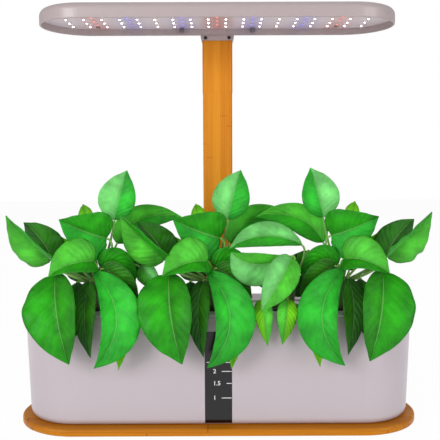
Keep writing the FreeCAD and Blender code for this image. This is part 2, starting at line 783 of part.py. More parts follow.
def make_pump_housing():
    body = rounded_plate(PUMP_W, PUMP_D, PUMP_EDGE_R, PUMP_Z, PUMP_Z + PUMP_H, PUMP_X)
    chamber = pump_rod(CHAMBER_R, FRONT_Y - 1, FRONT_Y + CHAMBER_L)
    rotor_end = FRONT_Y + CHAMBER_L + ROTOR_L + ROTOR_GAP
    rotor = pump_rod(ROTOR_R + ROTOR_GAP, FRONT_Y, rotor_end)
    seat = pump_rod(SHAFT_R, FRONT_Y, rotor_end + SHAFT_SEAT)
    outlet_y = FRONT_Y + CHAMBER_L / 2
    outlet = rod(NOZZLE_BORE_R, V(PUMP_X, outlet_y, AXIS_Z), V(PUMP_X, outlet_y, PUMP_Z + PUMP_H + 1))
    return body.cut([chamber, rotor, seat, outlet])


def make_pump_cover():
    cover = rounded_plate(PUMP_W, COVER_T, 0.6, PUMP_Z, PUMP_Z + PUMP_H, PUMP_X, FRONT_Y - COVER_T / 2)
    cuts = []
    for i in range(COVER_SLOTS):
        z = AXIS_Z + (i - (COVER_SLOTS - 1) / 2) * 2.4 * COVER_SLOT_W
        cuts.append(box(PUMP_X - COVER_SLOT_L / 2, PUMP_X + COVER_SLOT_L / 2, FRONT_Y - COVER_T - 1,
                        FRONT_Y + 1, z - COVER_SLOT_W / 2, z + COVER_SLOT_W / 2))
    seat = pump_rod(HUB_R, FRONT_Y - COVER_T, FRONT_Y)
    return cover.cut(cuts).fuse(seat).cut(pump_rod(SHAFT_R, FRONT_Y - COVER_T + 0.6, FRONT_Y + 1)).removeSplitter()


def make_shaft():
    return pump_rod(SHAFT_R, FRONT_Y - COVER_T + 0.6, FRONT_Y + CHAMBER_L + ROTOR_L + ROTOR_GAP + SHAFT_SEAT)


def make_impeller():
    y0 = FRONT_Y + 0.5
    y1 = FRONT_Y + CHAMBER_L
    hub = pump_rod(HUB_R, y0, y1)
    blades = []
    for i in range(BLADES):
        blade = box(PUMP_X + HUB_R - 0.5, PUMP_X + BLADE_R, y0, y0 + BLADE_L,
                    AXIS_Z - BLADE_T / 2, AXIS_Z + BLADE_T / 2)
        blade.rotate(V(PUMP_X, 0, AXIS_Z), V(0, 1, 0), 360 * i / BLADES)
        blades.append(blade)
    return hub.fuse(blades).cut(pump_rod(SHAFT_R + SHAFT_GAP, y0 - 1, y1 + 1)).removeSplitter()


def make_magnet():
    y0 = FRONT_Y + CHAMBER_L
    return pump_rod(ROTOR_R, y0, y0 + ROTOR_L).cut(pump_rod(SHAFT_R + SHAFT_GAP, y0 - 1, y0 + ROTOR_L + 1))


def make_suction_cups():
    cup = turned([(0, FLOOR_Z + 0.8), (CUP_R - 1.2, FLOOR_Z), (CUP_R, FLOOR_Z), (2, FLOOR_Z + CUP_H),
                  (0, FLOOR_Z + CUP_H)])
    x = PUMP_W / 2 - CUP_INSET
    y = PUMP_D / 2 - CUP_INSET
    return compound([moved(cup, PUMP_X + sx * x, sy * y) for sx in (-1, 1) for sy in (-1, 1)])


def make_nozzle():
    outlet_y = FRONT_Y + CHAMBER_L / 2
    z = PUMP_Z + PUMP_H
    tube = rod(NOZZLE_R, V(PUMP_X, outlet_y, z), V(PUMP_X, outlet_y, z + NOZZLE_H))
    return tube.cut(rod(NOZZLE_BORE_R, V(PUMP_X, outlet_y, z - 1), V(PUMP_X, outlet_y, z + NOZZLE_H + 1)))


# Pump lead. Its line is straight runs joined by tangent arcs

LEAD_ROUTE = [V(PUMP_X + LEAD_EXIT_X, LEAD_EXIT_Y, PUMP_Z + PUMP_H),
              V(PUMP_X + LEAD_EXIT_X, LEAD_EXIT_Y, PUMP_Z + PUMP_H + LEAD_RISE),
              V(PUMP_X + LEAD_SLANT_X, LEAD_SLANT_Y, LEAD_Z - LEAD_SLANT_DROP),
              V(PUMP_X + LEAD_LEVEL_X, LEAD_Y, LEAD_Z),
              V(-POST_W / 2 - POST_GAP - TANK_WALL - GROMMET_FLANGE_T - LEAD_STRAIGHT, LEAD_Y, LEAD_Z),
              V(-WIRE_W / 2 - WIRE_GAP, LEAD_Y, LEAD_Z)]
RUN_SHARE = 0.45


def tube(points, radius):
    """A tube along straight runs joined by tangent arcs, each as large as its runs allow."""
    edges = []
    radii = []
    at = points[0]
    for before, corner, after in zip(points, points[1:], points[2:]):
        shorter = min((corner - before).Length, (after - corner).Length)
        turn = (corner - before).getAngle(after - corner)
        if turn < 0.02:
            continue
        bend = RUN_SHARE * shorter / math.tan(turn / 2)
        radii.append(round(bend, 1))
        enter, middle, leave = corner_points(before, corner, after, bend)
        edges.append(Part.LineSegment(at, enter).toShape())
        edges.append(Part.Arc(enter, middle, leave).toShape())
        at = leave
    edges.append(Part.LineSegment(at, points[-1]).toShape())
    path = Part.Wire(edges)
    section = Part.Wire(Part.makeCircle(radius, points[0], points[1] - points[0]))
    return path.makePipeShell([section], True, False), path.Length, radii


def make_lead():
    lead, length, radii = tube(LEAD_ROUTE, LEAD_R)
    share = lead.Volume / (math.pi * LEAD_R ** 2 * length)
    print("pump lead: length %.0f mm, bend radii %s, volume over section times length %.4f" % (length, radii, share))
    return lead


def make_grommet():
    outer = -POST_W / 2 - POST_GAP
    inner = outer - TANK_WALL
    body = rod(GROMMET_R, V(inner, LEAD_Y, LEAD_Z), V(outer, LEAD_Y, LEAD_Z))
    flange = rod(GROMMET_FLANGE_R, V(inner - GROMMET_FLANGE_T, LEAD_Y, LEAD_Z), V(inner, LEAD_Y, LEAD_Z))
    hole = rod(LEAD_R, V(inner - 5, LEAD_Y, LEAD_Z), V(outer + 5, LEAD_Y, LEAD_Z))
    return body.fuse(flange).cut(hole).removeSplitter()


# Plants. A leaf is base, middle and tip of its midrib from the middle of its hole on the deck,
# the half widths on either side, the roll and the fold in degrees, and how far out its belly lies.
# The roll is counted from a leaf that faces the front.

BUSHY = [
    ((-35, -12, 51), (-52, -26, 72), (-71, -38, 97), 24, 25, -42, 30, 0.60),
    ((-40, 10, 49), (-51, 14, 68), (-70, 18, 86), 20, 20, 0, 12, 0.60),
    ((7, -14, 49), (-11, -31, 49), (-31, -42, 38), 25, 20, 36, 30, 0.62),
    ((18, 0, 71), (-3, -8, 79), (-27, -12, 91), 26, 27, 0, 14, 0.50),
    ((24, 16, 89), (29, 16, 113), (37, 20, 139), 19, 21, 0, 16, 0.80),
    ((-8, 38, 85), (-11, 42, 94), (-14, 46, 103), 8, 8, 0, 10, 0.70),
    ((-27, -30, 38), (-20, -56, 2), (-9, -60, -41), 32, 24, 10, 20, 0.76),
    ((4, -20, 30), (3, -43, 0), (9, -48, -38), 12, 12, 10, 14, 0.70),
    ((-10, -15, 28), (-7, -36, 1), (-15, -41, -27), 14, 12, 10, 12, 0.70),
    ((8, -20, 40), (34, -50, -1), (13, -56, -46), 15, 25, -8, 20, 0.95),
    ((12, -5, 43), (31, -3, 46), (46, 5, 22), 13, 15, 0, 10, 0.70),
    ((17, -14, 42), (36, -19, 31), (52, -22, 13), 13, 13, 0, 12, 0.70),
    ((28, -28, 15), (36, -42, -17), (35, -46, -50), 9, 9, 0, 10, 0.80),
    ((18, 25, 25), (35, 28, 38), (57, 30, 46), 17, 17, 0, 12, 0.70),
    ((-16, 8, 48), (-22, 10, 58), (-30, 10, 72), 9, 9, 0, 10, 0.70),
]
REAR_LEAF = ((-4, 22, 26), (-16, 27, 44), (-34, 30, 62), 18, 18, 0, 12, 0.70)
REAR_LEAF_BESIDE_LID = ((-5, 25, 32), (-13, 29, 57), (-21, 31, 82), 12, 12, 0, 12, 0.70)
SIDE_LEAF = ((50, 12, 40), (60, 8, 30), (72, 2, 14), 11, 11, 0, 12, 0.70)
LONG_LEAF = ((23, 38, 62), (50, 44, 88), (94, 40, 88), 16, 16, 0, 12, 0.70)
LONG_LEAF_FORWARD = ((23, 22, 62), (50, 26, 88), (94, 24, 88), 16, 16, 0, 12, 0.70)
SPREADING = [
    ((20, 6, 63), (-19, -10, 74), (-54, -22, 62), 15, 11, 0, 14, 0.95),
    ((9, -4, 53), (-28, -20, 47), (-52, -26, 60), 12, 22, 0, 14, 1.05),
    ((7, -18, 53), (-8, -40, 31), (-24, -48, 6), 17, 17, 0, 16, 0.70),
    ((-23, -34, 14), (-21, -42, -5), (-18, -44, -28), 9, 9, 0, 10, 0.60),
    ((2, -34, 14), (0, -42, -5), (-4, -44, -27), 10, 10, 0, 10, 0.60),
    ((27, 15, 54), (22, 13, 45), (17, 13, 36), 8, 8, 0, 10, 0.60),
    ((8, 14, 20), (22, 20, 18), (38, 22, 10), 12, 12, 0, 10, 0.70),
]
LEAF_STEPS = (0.02, 0.09, 0.22, 0.38, 0.54, 0.70, 0.84, 0.95, 0.99)
PETIOLE_REACH = 0.35


def shifted(leaf, mirror, dx, dz, slant):
    """The same leaf on another plant: mirrored left to right, and moved."""
    side = -1 if mirror else 1
    points = [(side * x + dx + slant * y, y, z + dz) for x, y, z in leaf[:3]]
    left, right, roll, fold, belly = leaf[3:]
    if mirror:
        left, right, roll = right, left, -roll
    return tuple(points) + (left, right, roll, fold, belly)


def midrib(leaf, t):
    """Point and direction on the midrib, a curve through its base, middle and tip."""
    base, middle, tip = [V(*p) for p in leaf[:3]]
    pull = middle * 2 - (base + tip) * 0.5
    point = base * (1 - t) ** 2 + pull * (2 * t * (1 - t)) + tip * t ** 2
    way = (pull - base) * (1 - t) + (tip - pull) * t
    return point, way.normalize()


def leaf_frame(way, roll):
    """The directions across the blade and out of its face."""
    front = V(0, -1, 0)
    face = front - way * way.dot(front)
    if face.Length < 0.25:
        face = V(0, 0, 1) - way * way.z
    face.normalize()
    side = way.cross(face)
    angle = math.radians(roll)
    out = face * math.cos(angle) + side * math.sin(angle)
    return way.cross(out), out


def leaf_section(leaf, t):
    """A shallow V across the blade, thickest at the midrib and sharp at its edges."""
    left, right, roll, fold, belly = leaf[3:]
    point, way = midrib(leaf, t)
    side, out = leaf_frame(way, roll)
    share = math.sin(math.pi * t ** belly) ** 0.8
    lean = math.radians(fold)
    up = out * math.sin(lean)
    half = out * (LEAF_T / 2)
    corners = [point + (side * math.cos(lean) + up) * (left * share), point + half,
               point + (side * -math.cos(lean) + up) * (right * share), point - half]
    return Part.makePolygon(corners + [corners[0]])


def make_leaf(leaf):
    return Part.makeLoft([leaf_section(leaf, t) for t in LEAF_STEPS], True, False)


def make_petiole(leaf, stem_point):
    """The stalk from the stem to the base of the blade, which it meets along the midrib."""
    base, way = midrib(leaf, LEAF_STEPS[0])
    reach = PETIOLE_REACH * (base - stem_point).Length
    corner = base - way * max(reach, 4.0)
    return tube([stem_point, corner, base], PETIOLE_R)[0]


def make_plant(leaves, mirror, dx, dz, slant):
    placed = [shifted(leaf, mirror, dx, dz, slant) for leaf in leaves]
    side = -1 if mirror else 1
    top = V(side * STEM_TOP.x + dx, STEM_TOP.y, STEM_TOP.z)
    foot = Part.Wire(Part.makeCircle(STEM_R0, V(0, 0, -2)))
    bend = Part.Wire(Part.makeCircle((STEM_R0 + STEM_R1) / 2, V(top.x * 0.4, top.y * 0.4, top.z / 2)))
    head = Part.Wire(Part.makeCircle(STEM_R1, top))
    stem = Part.makeLoft([foot, bend, head], True, True)
    stalks = []
    for leaf in placed:
        base = V(*leaf[0])
        away = V(base.x - top.x, base.y - top.y, 0).normalize()
        stalks.append(make_petiole(leaf, top + away * (STEM_R1 - 1) + V(0, 0, -2)))
    return compound([stem.fuse(stalks)] + [make_leaf(leaf) for leaf in placed])


PLANTS = [
    (BUSHY + [REAR_LEAF, SIDE_LEAF, LONG_LEAF], False, 0, 0, 0),
    (BUSHY + [REAR_LEAF, SIDE_LEAF, LONG_LEAF], False, -16, 0, 0.14),
    (SPREADING, False, 0, 0, 0),
    (BUSHY + [REAR_LEAF_BESIDE_LID, LONG_LEAF_FORWARD], True, 2, 2, 0),
]


def save_planting():
    basket = make_basket()
    sponge = make_sponge()
    for number, ((x, y), plant) in enumerate(zip(PLANTED, PLANTS), 1):
        save(moved(basket, x, y), "net_basket_%d" % number)
        save(moved(sponge, x, y), "grow_sponge_%d" % number)
        save(moved(make_plant(*plant), x, y, DECK_Z), "plant_%d" % number)
    cap = make_cap()
    for number, (x, y) in enumerate(CAPPED, 1):
        save(moved(cap, x, y), "pod_cap_%d" % number)


def save_base():
    save(make_board(), "base_board")
    save(make_foot_pads(), "foot_pads")
    tank, window, seal = make_tank_and_window()
    save(tank, "tank")
    save(window, "level_window")
    save(seal, "window_seal")
    save(make_post_lower(), "post_lower")
    save(compound([post_screw(x) for x in (-POST_SCREW_X, POST_SCREW_X)]), "post_screws")
    save(make_inlet(), "power_inlet")
    save(make_inlet_pin(), "inlet_pin")
    save(wire_box(0, INLET_Z + INLET_R + FIT, SLEEVE_Z), "lower_wires")
    save(make_sleeve(), "post_sleeve")


def save_pump():
    save(make_pump_housing(), "pump_housing")
    save(make_pump_cover(), "pump_cover")
    save(make_shaft(), "pump_shaft")
    save(make_impeller(), "pump_impeller")
    save(make_magnet(), "pump_magnet")
    save(make_suction_cups(), "suction_cups")
    save(make_nozzle(), "pump_nozzle")
    save(make_lead(), "pump_lead")
    save(make_grommet(), "lead_grommet")


def save_deck():
    save(make_deck(), "deck")
    save(make_lid(), "refill_lid")
    save(hinge_rod(HINGE_PIN_R, PORT_W), "lid_pin")


def save_lamp():
    save(make_housing(), "lamp_housing")
    save(make_light_board(), "light_board")
    save(make_white_leds(), "white_leds")
    save(make_coloured_leds(RED_HALF_STEPS), "red_leds")
    save(make_coloured_leds(BLUE_HALF_STEPS), "blue_leds")
    save(make_board_screws(), "board_screws")
    save(make_studs(), "board_studs")
    save(make_driver(), "driver_board")
    save(make_key_switches(), "key_switches")
    save(make_bracket(), "lamp_bracket")
    save(compound(bracket_front_screws()), "bracket_screws")
    save(compound(rear_screws()), "bracket_rear_screws")
    save(make_post_upper(), "post_upper")
    save(make_tongue(), "post_tongue")
    save(make_upper_wires(), "upper_wires")
    for name, (x, y) in zip(("light_button", "pump_button"), button_places()):
        save(make_button(x, y), name)


os.makedirs("parts", exist_ok=True)
save_base()
save_pump()
save_deck()
save_planting()
save_lamp()
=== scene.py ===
import bpy
import bmesh
import math
import random
from mathutils import Matrix, Vector


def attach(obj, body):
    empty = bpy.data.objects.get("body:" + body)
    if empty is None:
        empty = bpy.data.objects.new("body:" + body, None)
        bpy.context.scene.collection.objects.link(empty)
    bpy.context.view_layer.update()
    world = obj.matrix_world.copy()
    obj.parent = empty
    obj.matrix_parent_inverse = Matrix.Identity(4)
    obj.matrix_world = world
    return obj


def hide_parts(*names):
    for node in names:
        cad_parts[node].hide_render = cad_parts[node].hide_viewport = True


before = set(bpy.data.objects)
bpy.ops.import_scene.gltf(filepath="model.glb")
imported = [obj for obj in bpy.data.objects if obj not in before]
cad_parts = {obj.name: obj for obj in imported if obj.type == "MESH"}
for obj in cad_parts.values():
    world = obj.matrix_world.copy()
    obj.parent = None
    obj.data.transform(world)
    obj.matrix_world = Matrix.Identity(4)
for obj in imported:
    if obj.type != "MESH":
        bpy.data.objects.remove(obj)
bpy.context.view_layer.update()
MM = 0.001

# The camera stands in front of the garden at the height of the plants' tops and looks slightly down.
# Its place and lens come from a fit to the photograph, which is 440 pixels square.

PIXELS = 440
view = bpy.data.cameras.new("photo_camera")
view.sensor_width = 36.0
view.lens = 57.11
view.shift_y = 0.712 / PIXELS
view.clip_start = 0.01
camera = bpy.data.objects.new("photo_camera", view)
camera.rotation_mode = "ZYX"
camera.location = (2.125 * MM, -722.86 * MM, 261.05 * MM)
camera.rotation_euler = (math.pi / 2 - 0.075, 0.0, -0.004)
bpy.context.scene.collection.objects.link(camera)
bpy.context.scene.camera = camera
bpy.context.scene.view_settings.view_transform = "Standard"


# The floor is a plain sheet of matt white card, lit by three soft lamps and a pale sky.
# Seen straight on, in a mirror or through glass it is nearly white, but it keeps the shadow.

def linear(code):
    """An sRGB hex colour as the linear numbers that the shaders take."""
    parts = [int(code[i:i + 2], 16) / 255 for i in (1, 3, 5)]
    return tuple([c / 12.92 if c <= 0.04045 else ((c + 0.055) / 1.055) ** 2.4 for c in parts] + [1.0])


def add_node(tree, kind, inputs=None, **settings):
    """Adds a node with its settings, and fills its sockets with numbers, colours or other nodes' sockets."""
    made = tree.nodes.new(kind)
    for name, value in settings.items():
        setattr(made, name, value)
    for key, value in (inputs or {}).items():
        if isinstance(value, bpy.types.NodeSocket):
            tree.links.new(value, made.inputs[key])
        else:
            made.inputs[key].default_value = value
    return made


def start_material(name):
    material = bpy.data.materials.new(name)
    material.use_nodes = True
    material.node_tree.nodes.clear()
    return material, material.node_tree


def new_piece(name, mesh, *materials):
    for material in materials:
        mesh.materials.append(material)
    piece = bpy.data.objects.new(name, mesh)
    bpy.context.scene.collection.objects.link(piece)
    return piece


FLOOR_HALF = 5.0
FLOOR_SHOWN_WHITE = 0.93
FLOOR_GLOW = 1.02
SKY_GLOW = 0.45
AIM_AT = Vector((0.0, 0.0, 0.2))

white_card, tree = start_material("card_matt_white")
path = add_node(tree, "ShaderNodeLightPath")
seen = add_node(tree, "ShaderNodeMath", {0: path.outputs["Is Camera Ray"], 1: path.outputs["Is Glossy Ray"]},
                operation="MAXIMUM")
seen = add_node(tree, "ShaderNodeMath", {0: seen.outputs[0], 1: path.outputs["Is Transmission Ray"]},
                operation="MAXIMUM")
share = add_node(tree, "ShaderNodeMath", {0: seen.outputs[0], 1: FLOOR_SHOWN_WHITE}, operation="MULTIPLY")
card = add_node(tree, "ShaderNodeBsdfDiffuse", {"Color": linear("#F4F3F2")})
glow = add_node(tree, "ShaderNodeEmission", {"Color": linear("#FFFFFF"), "Strength": FLOOR_GLOW})
mixed = add_node(tree, "ShaderNodeMixShader", {0: share.outputs[0], 1: card.outputs[0], 2: glow.outputs[0]})
add_node(tree, "ShaderNodeOutputMaterial", {"Surface": mixed.outputs[0]})

sheet = bmesh.new()
bmesh.ops.create_grid(sheet, x_segments=1, y_segments=1, size=FLOOR_HALF)
floor_mesh = bpy.data.meshes.new("floor")
sheet.to_mesh(floor_mesh)
sheet.free()
floor = new_piece("floor", floor_mesh, white_card)

sky = bpy.data.worlds.new("studio_sky")
bpy.context.scene.world = sky
sky.use_nodes = True
tree = sky.node_tree
tree.nodes.clear()
path = add_node(tree, "ShaderNodeLightPath")
dim = add_node(tree, "ShaderNodeBackground", {"Color": linear("#F7F8FA"), "Strength": SKY_GLOW})
plain = add_node(tree, "ShaderNodeBackground", {"Color": linear("#FFFFFF"), "Strength": 1.0})
mixed = add_node(tree, "ShaderNodeMixShader",
                 {0: path.outputs["Is Camera Ray"], 1: dim.outputs[0], 2: plain.outputs[0]})
add_node(tree, "ShaderNodeOutputWorld", {"Surface": mixed.outputs[0]})


def soft_lamp(name, place, size, watts):
    lamp = bpy.data.lights.new(name, "AREA")
    lamp.shape = "SQUARE"
    lamp.size = size
    lamp.energy = watts
    lamp_object = bpy.data.objects.new(name, lamp)
    lamp_object.location = place
    aim = AIM_AT - Vector(place)
    lamp_object.rotation_euler = aim.to_track_quat("-Z", "Y").to_euler()
    bpy.context.scene.collection.objects.link(lamp_object)


soft_lamp("key_lamp", (-0.95, -1.3, 0.72), 0.7, 14.0)
soft_lamp("fill_lamp", (1.25, -1.15, 0.5), 0.9, 9.5)
soft_lamp("back_lamp", (0.3, 1.3, 1.7), 1.2, 5.0)


# Base board and posts: strips of bamboo glued edge to edge, planed, rounded over and given a satin lacquer.
# Straight fibres run the long way. Each strip has its own tone, and a thin dark ring shows where a stem
# joint was.

FIBRE_MM = 0.9
FIBRE_RUN_MM = 70.0
STRIP_MM = 19.0
PLY_MM = 7.5
RING_EVERY_MM = 235.0
RING_MM = 1.1
CLOUD_COARSER = 0.16
STRIP_TONE = 0.5
FIBRE_TONE = 0.95
CLOUD_TONE = 0.35
TONE_DARKER = 0.42
GROOVE_MM = 0.05


def lacquered_bamboo(name, turn, dark, light, ring):
    """Bamboo with its fibres along the X axis of the turned pattern."""
    material, tree = start_material(name)
    place = add_node(tree, "ShaderNodeTexCoord").outputs["Object"]
    place = add_node(tree, "ShaderNodeMapping", {"Vector": place, "Rotation": turn}).outputs[0]
    axes = add_node(tree, "ShaderNodeSeparateXYZ", {0: place}).outputs
    strip = add_node(tree, "ShaderNodeMath", {0: axes["Y"], 1: 1 / (STRIP_MM * MM), 2: 0.5},
                     operation="MULTIPLY_ADD").outputs[0]
    ply = add_node(tree, "ShaderNodeMath", {0: axes["Z"], 1: 1 / (PLY_MM * MM), 2: 0.35},
                   operation="MULTIPLY_ADD").outputs[0]
    strip_number = add_node(tree, "ShaderNodeMath", {0: strip}, operation="FLOOR").outputs[0]
    ply_number = add_node(tree, "ShaderNodeMath", {0: ply}, operation="FLOOR").outputs[0]
    both = add_node(tree, "ShaderNodeCombineXYZ", {0: strip_number, 1: ply_number, 2: 3.0}).outputs[0]
    chance = add_node(tree, "ShaderNodeTexWhiteNoise", {"Vector": both},
                      noise_dimensions="3D").outputs["Value"]
    per_run = 1 / (FIBRE_RUN_MM * MM)
    per_fibre = 1 / (FIBRE_MM * MM)
    stretched = add_node(tree, "ShaderNodeMapping", {
        "Vector": place, "Scale": (per_run, per_fibre, per_fibre)}).outputs[0]
    fibre = add_node(tree, "ShaderNodeTexNoise", {"Vector": stretched, "Scale": 1.0, "Detail": 4.0,
                                                  "Roughness": 0.6}).outputs["Fac"]
    cloud = add_node(tree, "ShaderNodeTexNoise", {"Vector": stretched, "Scale": CLOUD_COARSER,
                                                  "Detail": 2.0}).outputs["Fac"]
    along = add_node(tree, "ShaderNodeMath", {0: axes["X"], 1: 1 / (RING_EVERY_MM * MM), 2: chance},
                     operation="MULTIPLY_ADD").outputs[0]
    along = add_node(tree, "ShaderNodeMath", {0: along}, operation="FRACT").outputs[0]
    along = add_node(tree, "ShaderNodeMath", {0: along, 1: 0.5}, operation="SUBTRACT").outputs[0]
    along = add_node(tree, "ShaderNodeMath", {0: along}, operation="ABSOLUTE").outputs[0]
    ringed = add_node(tree, "ShaderNodeMapRange", {
        "Value": along, "From Min": 0.0, "From Max": RING_MM / RING_EVERY_MM, "To Min": ring, "To Max": 0.0},
        interpolation_type="SMOOTHSTEP").outputs[0]
    tone = 0.0
    for pattern, weight in ((chance, STRIP_TONE), (fibre, FIBRE_TONE), (cloud, CLOUD_TONE)):
        tone = add_node(tree, "ShaderNodeMath", {0: pattern, 1: weight, 2: tone},
                        operation="MULTIPLY_ADD").outputs[0]
    tone = add_node(tree, "ShaderNodeMath", {0: tone, 1: TONE_DARKER}, operation="SUBTRACT").outputs[0]
    tone = add_node(tree, "ShaderNodeMath", {0: tone, 1: ringed}, operation="SUBTRACT",
                    use_clamp=True).outputs[0]
    colour = add_node(tree, "ShaderNodeMix", {0: tone, 6: linear(dark), 7: linear(light)},
                      data_type="RGBA").outputs[2]
    gloss = add_node(tree, "ShaderNodeMapRange", {"Value": fibre, "To Min": 0.36, "To Max": 0.5}).outputs[0]
    relief = add_node(tree, "ShaderNodeBump", {"Height": fibre, "Strength": 0.25,
                                               "Distance": GROOVE_MM * MM}).outputs[0]
    surface = add_node(tree, "ShaderNodeBsdfPrincipled", {
        "Base Color": colour, "Roughness": gloss, "Normal": relief, "IOR": 1.5, "Specular IOR Level": 0.25})
    add_node(tree, "ShaderNodeOutputMaterial", {"Surface": surface.outputs[0]})
    return material


def dress(material, *nodes):
    """Gives carried-over CAD nodes their finished material."""
    for name in nodes:
        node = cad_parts[name]
        if not node.material_slots:
            node.data.materials.append(material)
        for holder in node.material_slots:
            holder.material = material


dress(lacquered_bamboo("bamboo_board_lacquered", (0, 0, 0), "#9A5200", "#DC8C0C", 0.5), "base_board")
dress(lacquered_bamboo("bamboo_post_lacquered", (0, math.pi / 2, 0), "#C26A04", "#EFA428", 0.3),
      "post_lower", "post_upper")


# Feet, suction cups, seals and grommets: soft rubber-like mouldings with a dull skin.
# Housings, caps and the tank: ABS and polypropylene from polished or finely sparked moulds.

FLOWS_PER_METRE = 22.0


def moulded(name, colour, roughness, grain_mm, depth_mm, mottle=0.04, coat=0.0):
    """A moulded skin: the faint uneven tone of the melt, and the grain that the mould leaves."""
    material, tree = start_material(name)
    place = add_node(tree, "ShaderNodeTexCoord").outputs["Object"]
    grain = add_node(tree, "ShaderNodeTexNoise", {
        "Vector": place, "Scale": 1 / (grain_mm * MM), "Detail": 3.0, "Roughness": 0.55}).outputs["Fac"]
    flow = add_node(tree, "ShaderNodeTexNoise", {"Vector": place, "Scale": FLOWS_PER_METRE,
                                                 "Detail": 2.0}).outputs["Fac"]
    base = linear(colour)
    dark = tuple([c * (1 - mottle) for c in base[:3]] + [1.0])
    light = tuple([min(1.0, c * (1 + mottle)) for c in base[:3]] + [1.0])
    tone = add_node(tree, "ShaderNodeMix", {0: flow, 6: dark, 7: light}, data_type="RGBA").outputs[2]
    gloss = add_node(tree, "ShaderNodeMapRange", {
        "Value": grain, "To Min": roughness - 0.05, "To Max": roughness + 0.05}).outputs[0]
    relief = add_node(tree, "ShaderNodeBump", {"Height": grain, "Strength": 0.5,
                                               "Distance": depth_mm * MM}).outputs[0]
    surface = add_node(tree, "ShaderNodeBsdfPrincipled", {
        "Base Color": tone, "Roughness": gloss, "Normal": relief, "IOR": 1.5,
        "Coat Weight": coat, "Coat Roughness": 0.12})
    add_node(tree, "ShaderNodeOutputMaterial", {"Surface": surface.outputs[0]})
    return material


dress(moulded("silicone_moulded_clear_white", "#D9D8D2", 0.6, 0.9, 0.02), "foot_pads", "suction_cups")
dress(moulded("epdm_rubber_moulded", "#1C1C1C", 0.75, 0.7, 0.03), "window_seal", "lead_grommet")


# Hardware in the post and under the board: countersunk zinc-plated steel screws, a moulded DC inlet with its
# brass pin, a flat two-core wire, and a nylon sleeve that takes the brass-edged tongue of the upper section.

SCRATCH_DEEP_MM = 0.02


def plated_metal(name, colour, roughness, scratch_mm):
    """Metal with the fine marks of turning and handling."""
    material, tree = start_material(name)
    place = add_node(tree, "ShaderNodeTexCoord").outputs["Object"]
    marks = add_node(tree, "ShaderNodeTexNoise", {
        "Vector": place, "Scale": 1 / (scratch_mm * MM), "Detail": 4.0, "Roughness": 0.7}).outputs["Fac"]
    tone = add_node(tree, "ShaderNodeMix", {0: marks, 6: linear(colour[0]), 7: linear(colour[1])},
                    data_type="RGBA").outputs[2]
    gloss = add_node(tree, "ShaderNodeMapRange", {
        "Value": marks, "To Min": roughness - 0.08, "To Max": roughness + 0.12}).outputs[0]
    relief = add_node(tree, "ShaderNodeBump", {"Height": marks, "Strength": 0.3,
                                               "Distance": SCRATCH_DEEP_MM * MM}).outputs[0]
    surface = add_node(tree, "ShaderNodeBsdfPrincipled", {
        "Base Color": tone, "Metallic": 1.0, "Roughness": gloss, "Normal": relief})
    add_node(tree, "ShaderNodeOutputMaterial", {"Surface": surface.outputs[0]})
    return material


zinc_steel = plated_metal("steel_screw_zinc_plated", ("#7F7B78", "#A29D98"), 0.35, 0.6)
dress(zinc_steel, "post_screws", "board_screws", "bracket_rear_screws", "lid_pin", "pump_shaft")
dress(plated_metal("steel_screw_blackened", ("#2A2523", "#4A423E"), 0.4, 0.6), "bracket_screws")
dress(plated_metal("brass_contact_plated", ("#B8964E", "#D6B870"), 0.3, 0.8), "inlet_pin", "post_tongue")
black_nylon = moulded("nylon_moulded_black", "#1A1A1B", 0.48, 0.6, 0.02)
dress(black_nylon, "power_inlet", "post_sleeve")
dress(moulded("pvc_wire_extruded_black", "#202021", 0.55, 0.5, 0.01), "lower_wires", "upper_wires")


# Tank: one ABS moulding with a faint rose tint, satin outside, its lower edge rounded to meet the board.
# The mould is finely polished, so its skin gives a soft, even gleam with no grain to see.

dress(moulded("abs_injection_moulded_satin", "#C2B7BD", 0.36, 1.4, 0.006, mottle=0.015, coat=0.1), "tank")


# Level window: a strip of smoked polycarbonate let flush into the front wall, so dark that only a gleam
# shows.
# The scale is screen-printed on it in white: plain strokes, and the volume in litres as bare numbers.

smoked = moulded("polycarbonate_smoked_polished", "#0B090A", 0.2, 3.0, 0.002, mottle=0.2)
dress(smoked, "level_window")

WALL_AT_FOOT_MM = (8.2, 53.0)
WALL_SLOPE = 3.5 / 109.0
INK_MM = 0.06
STROKE_MM = 0.7
STROKES_MM = [(72.5, -11.5, 11.5), (63.4, 3.2, 12.9), (51.3, 8.0, 12.9), (36.6, 3.2, 12.9)]
NUMBERS_MM = [("2", 63.4), ("1.5", 51.3), ("1", 36.6)]
NUMBER_X_MM = -5.2
NUMBER_SIZE_MM = 6.0
NUMBER_BOLDER_MM = 0.08


def on_window(height_mm):
    """The matrix from a flat drawing, with X across and Y up, to the sloping face at that height."""
    foot_z, foot_y = WALL_AT_FOOT_MM
    out = foot_y + WALL_SLOPE * (height_mm - foot_z)
    place = Matrix.Translation((0, -out * MM, height_mm * MM))
    return place @ Matrix.Rotation(math.pi / 2 + math.atan(WALL_SLOPE), 4, "X")


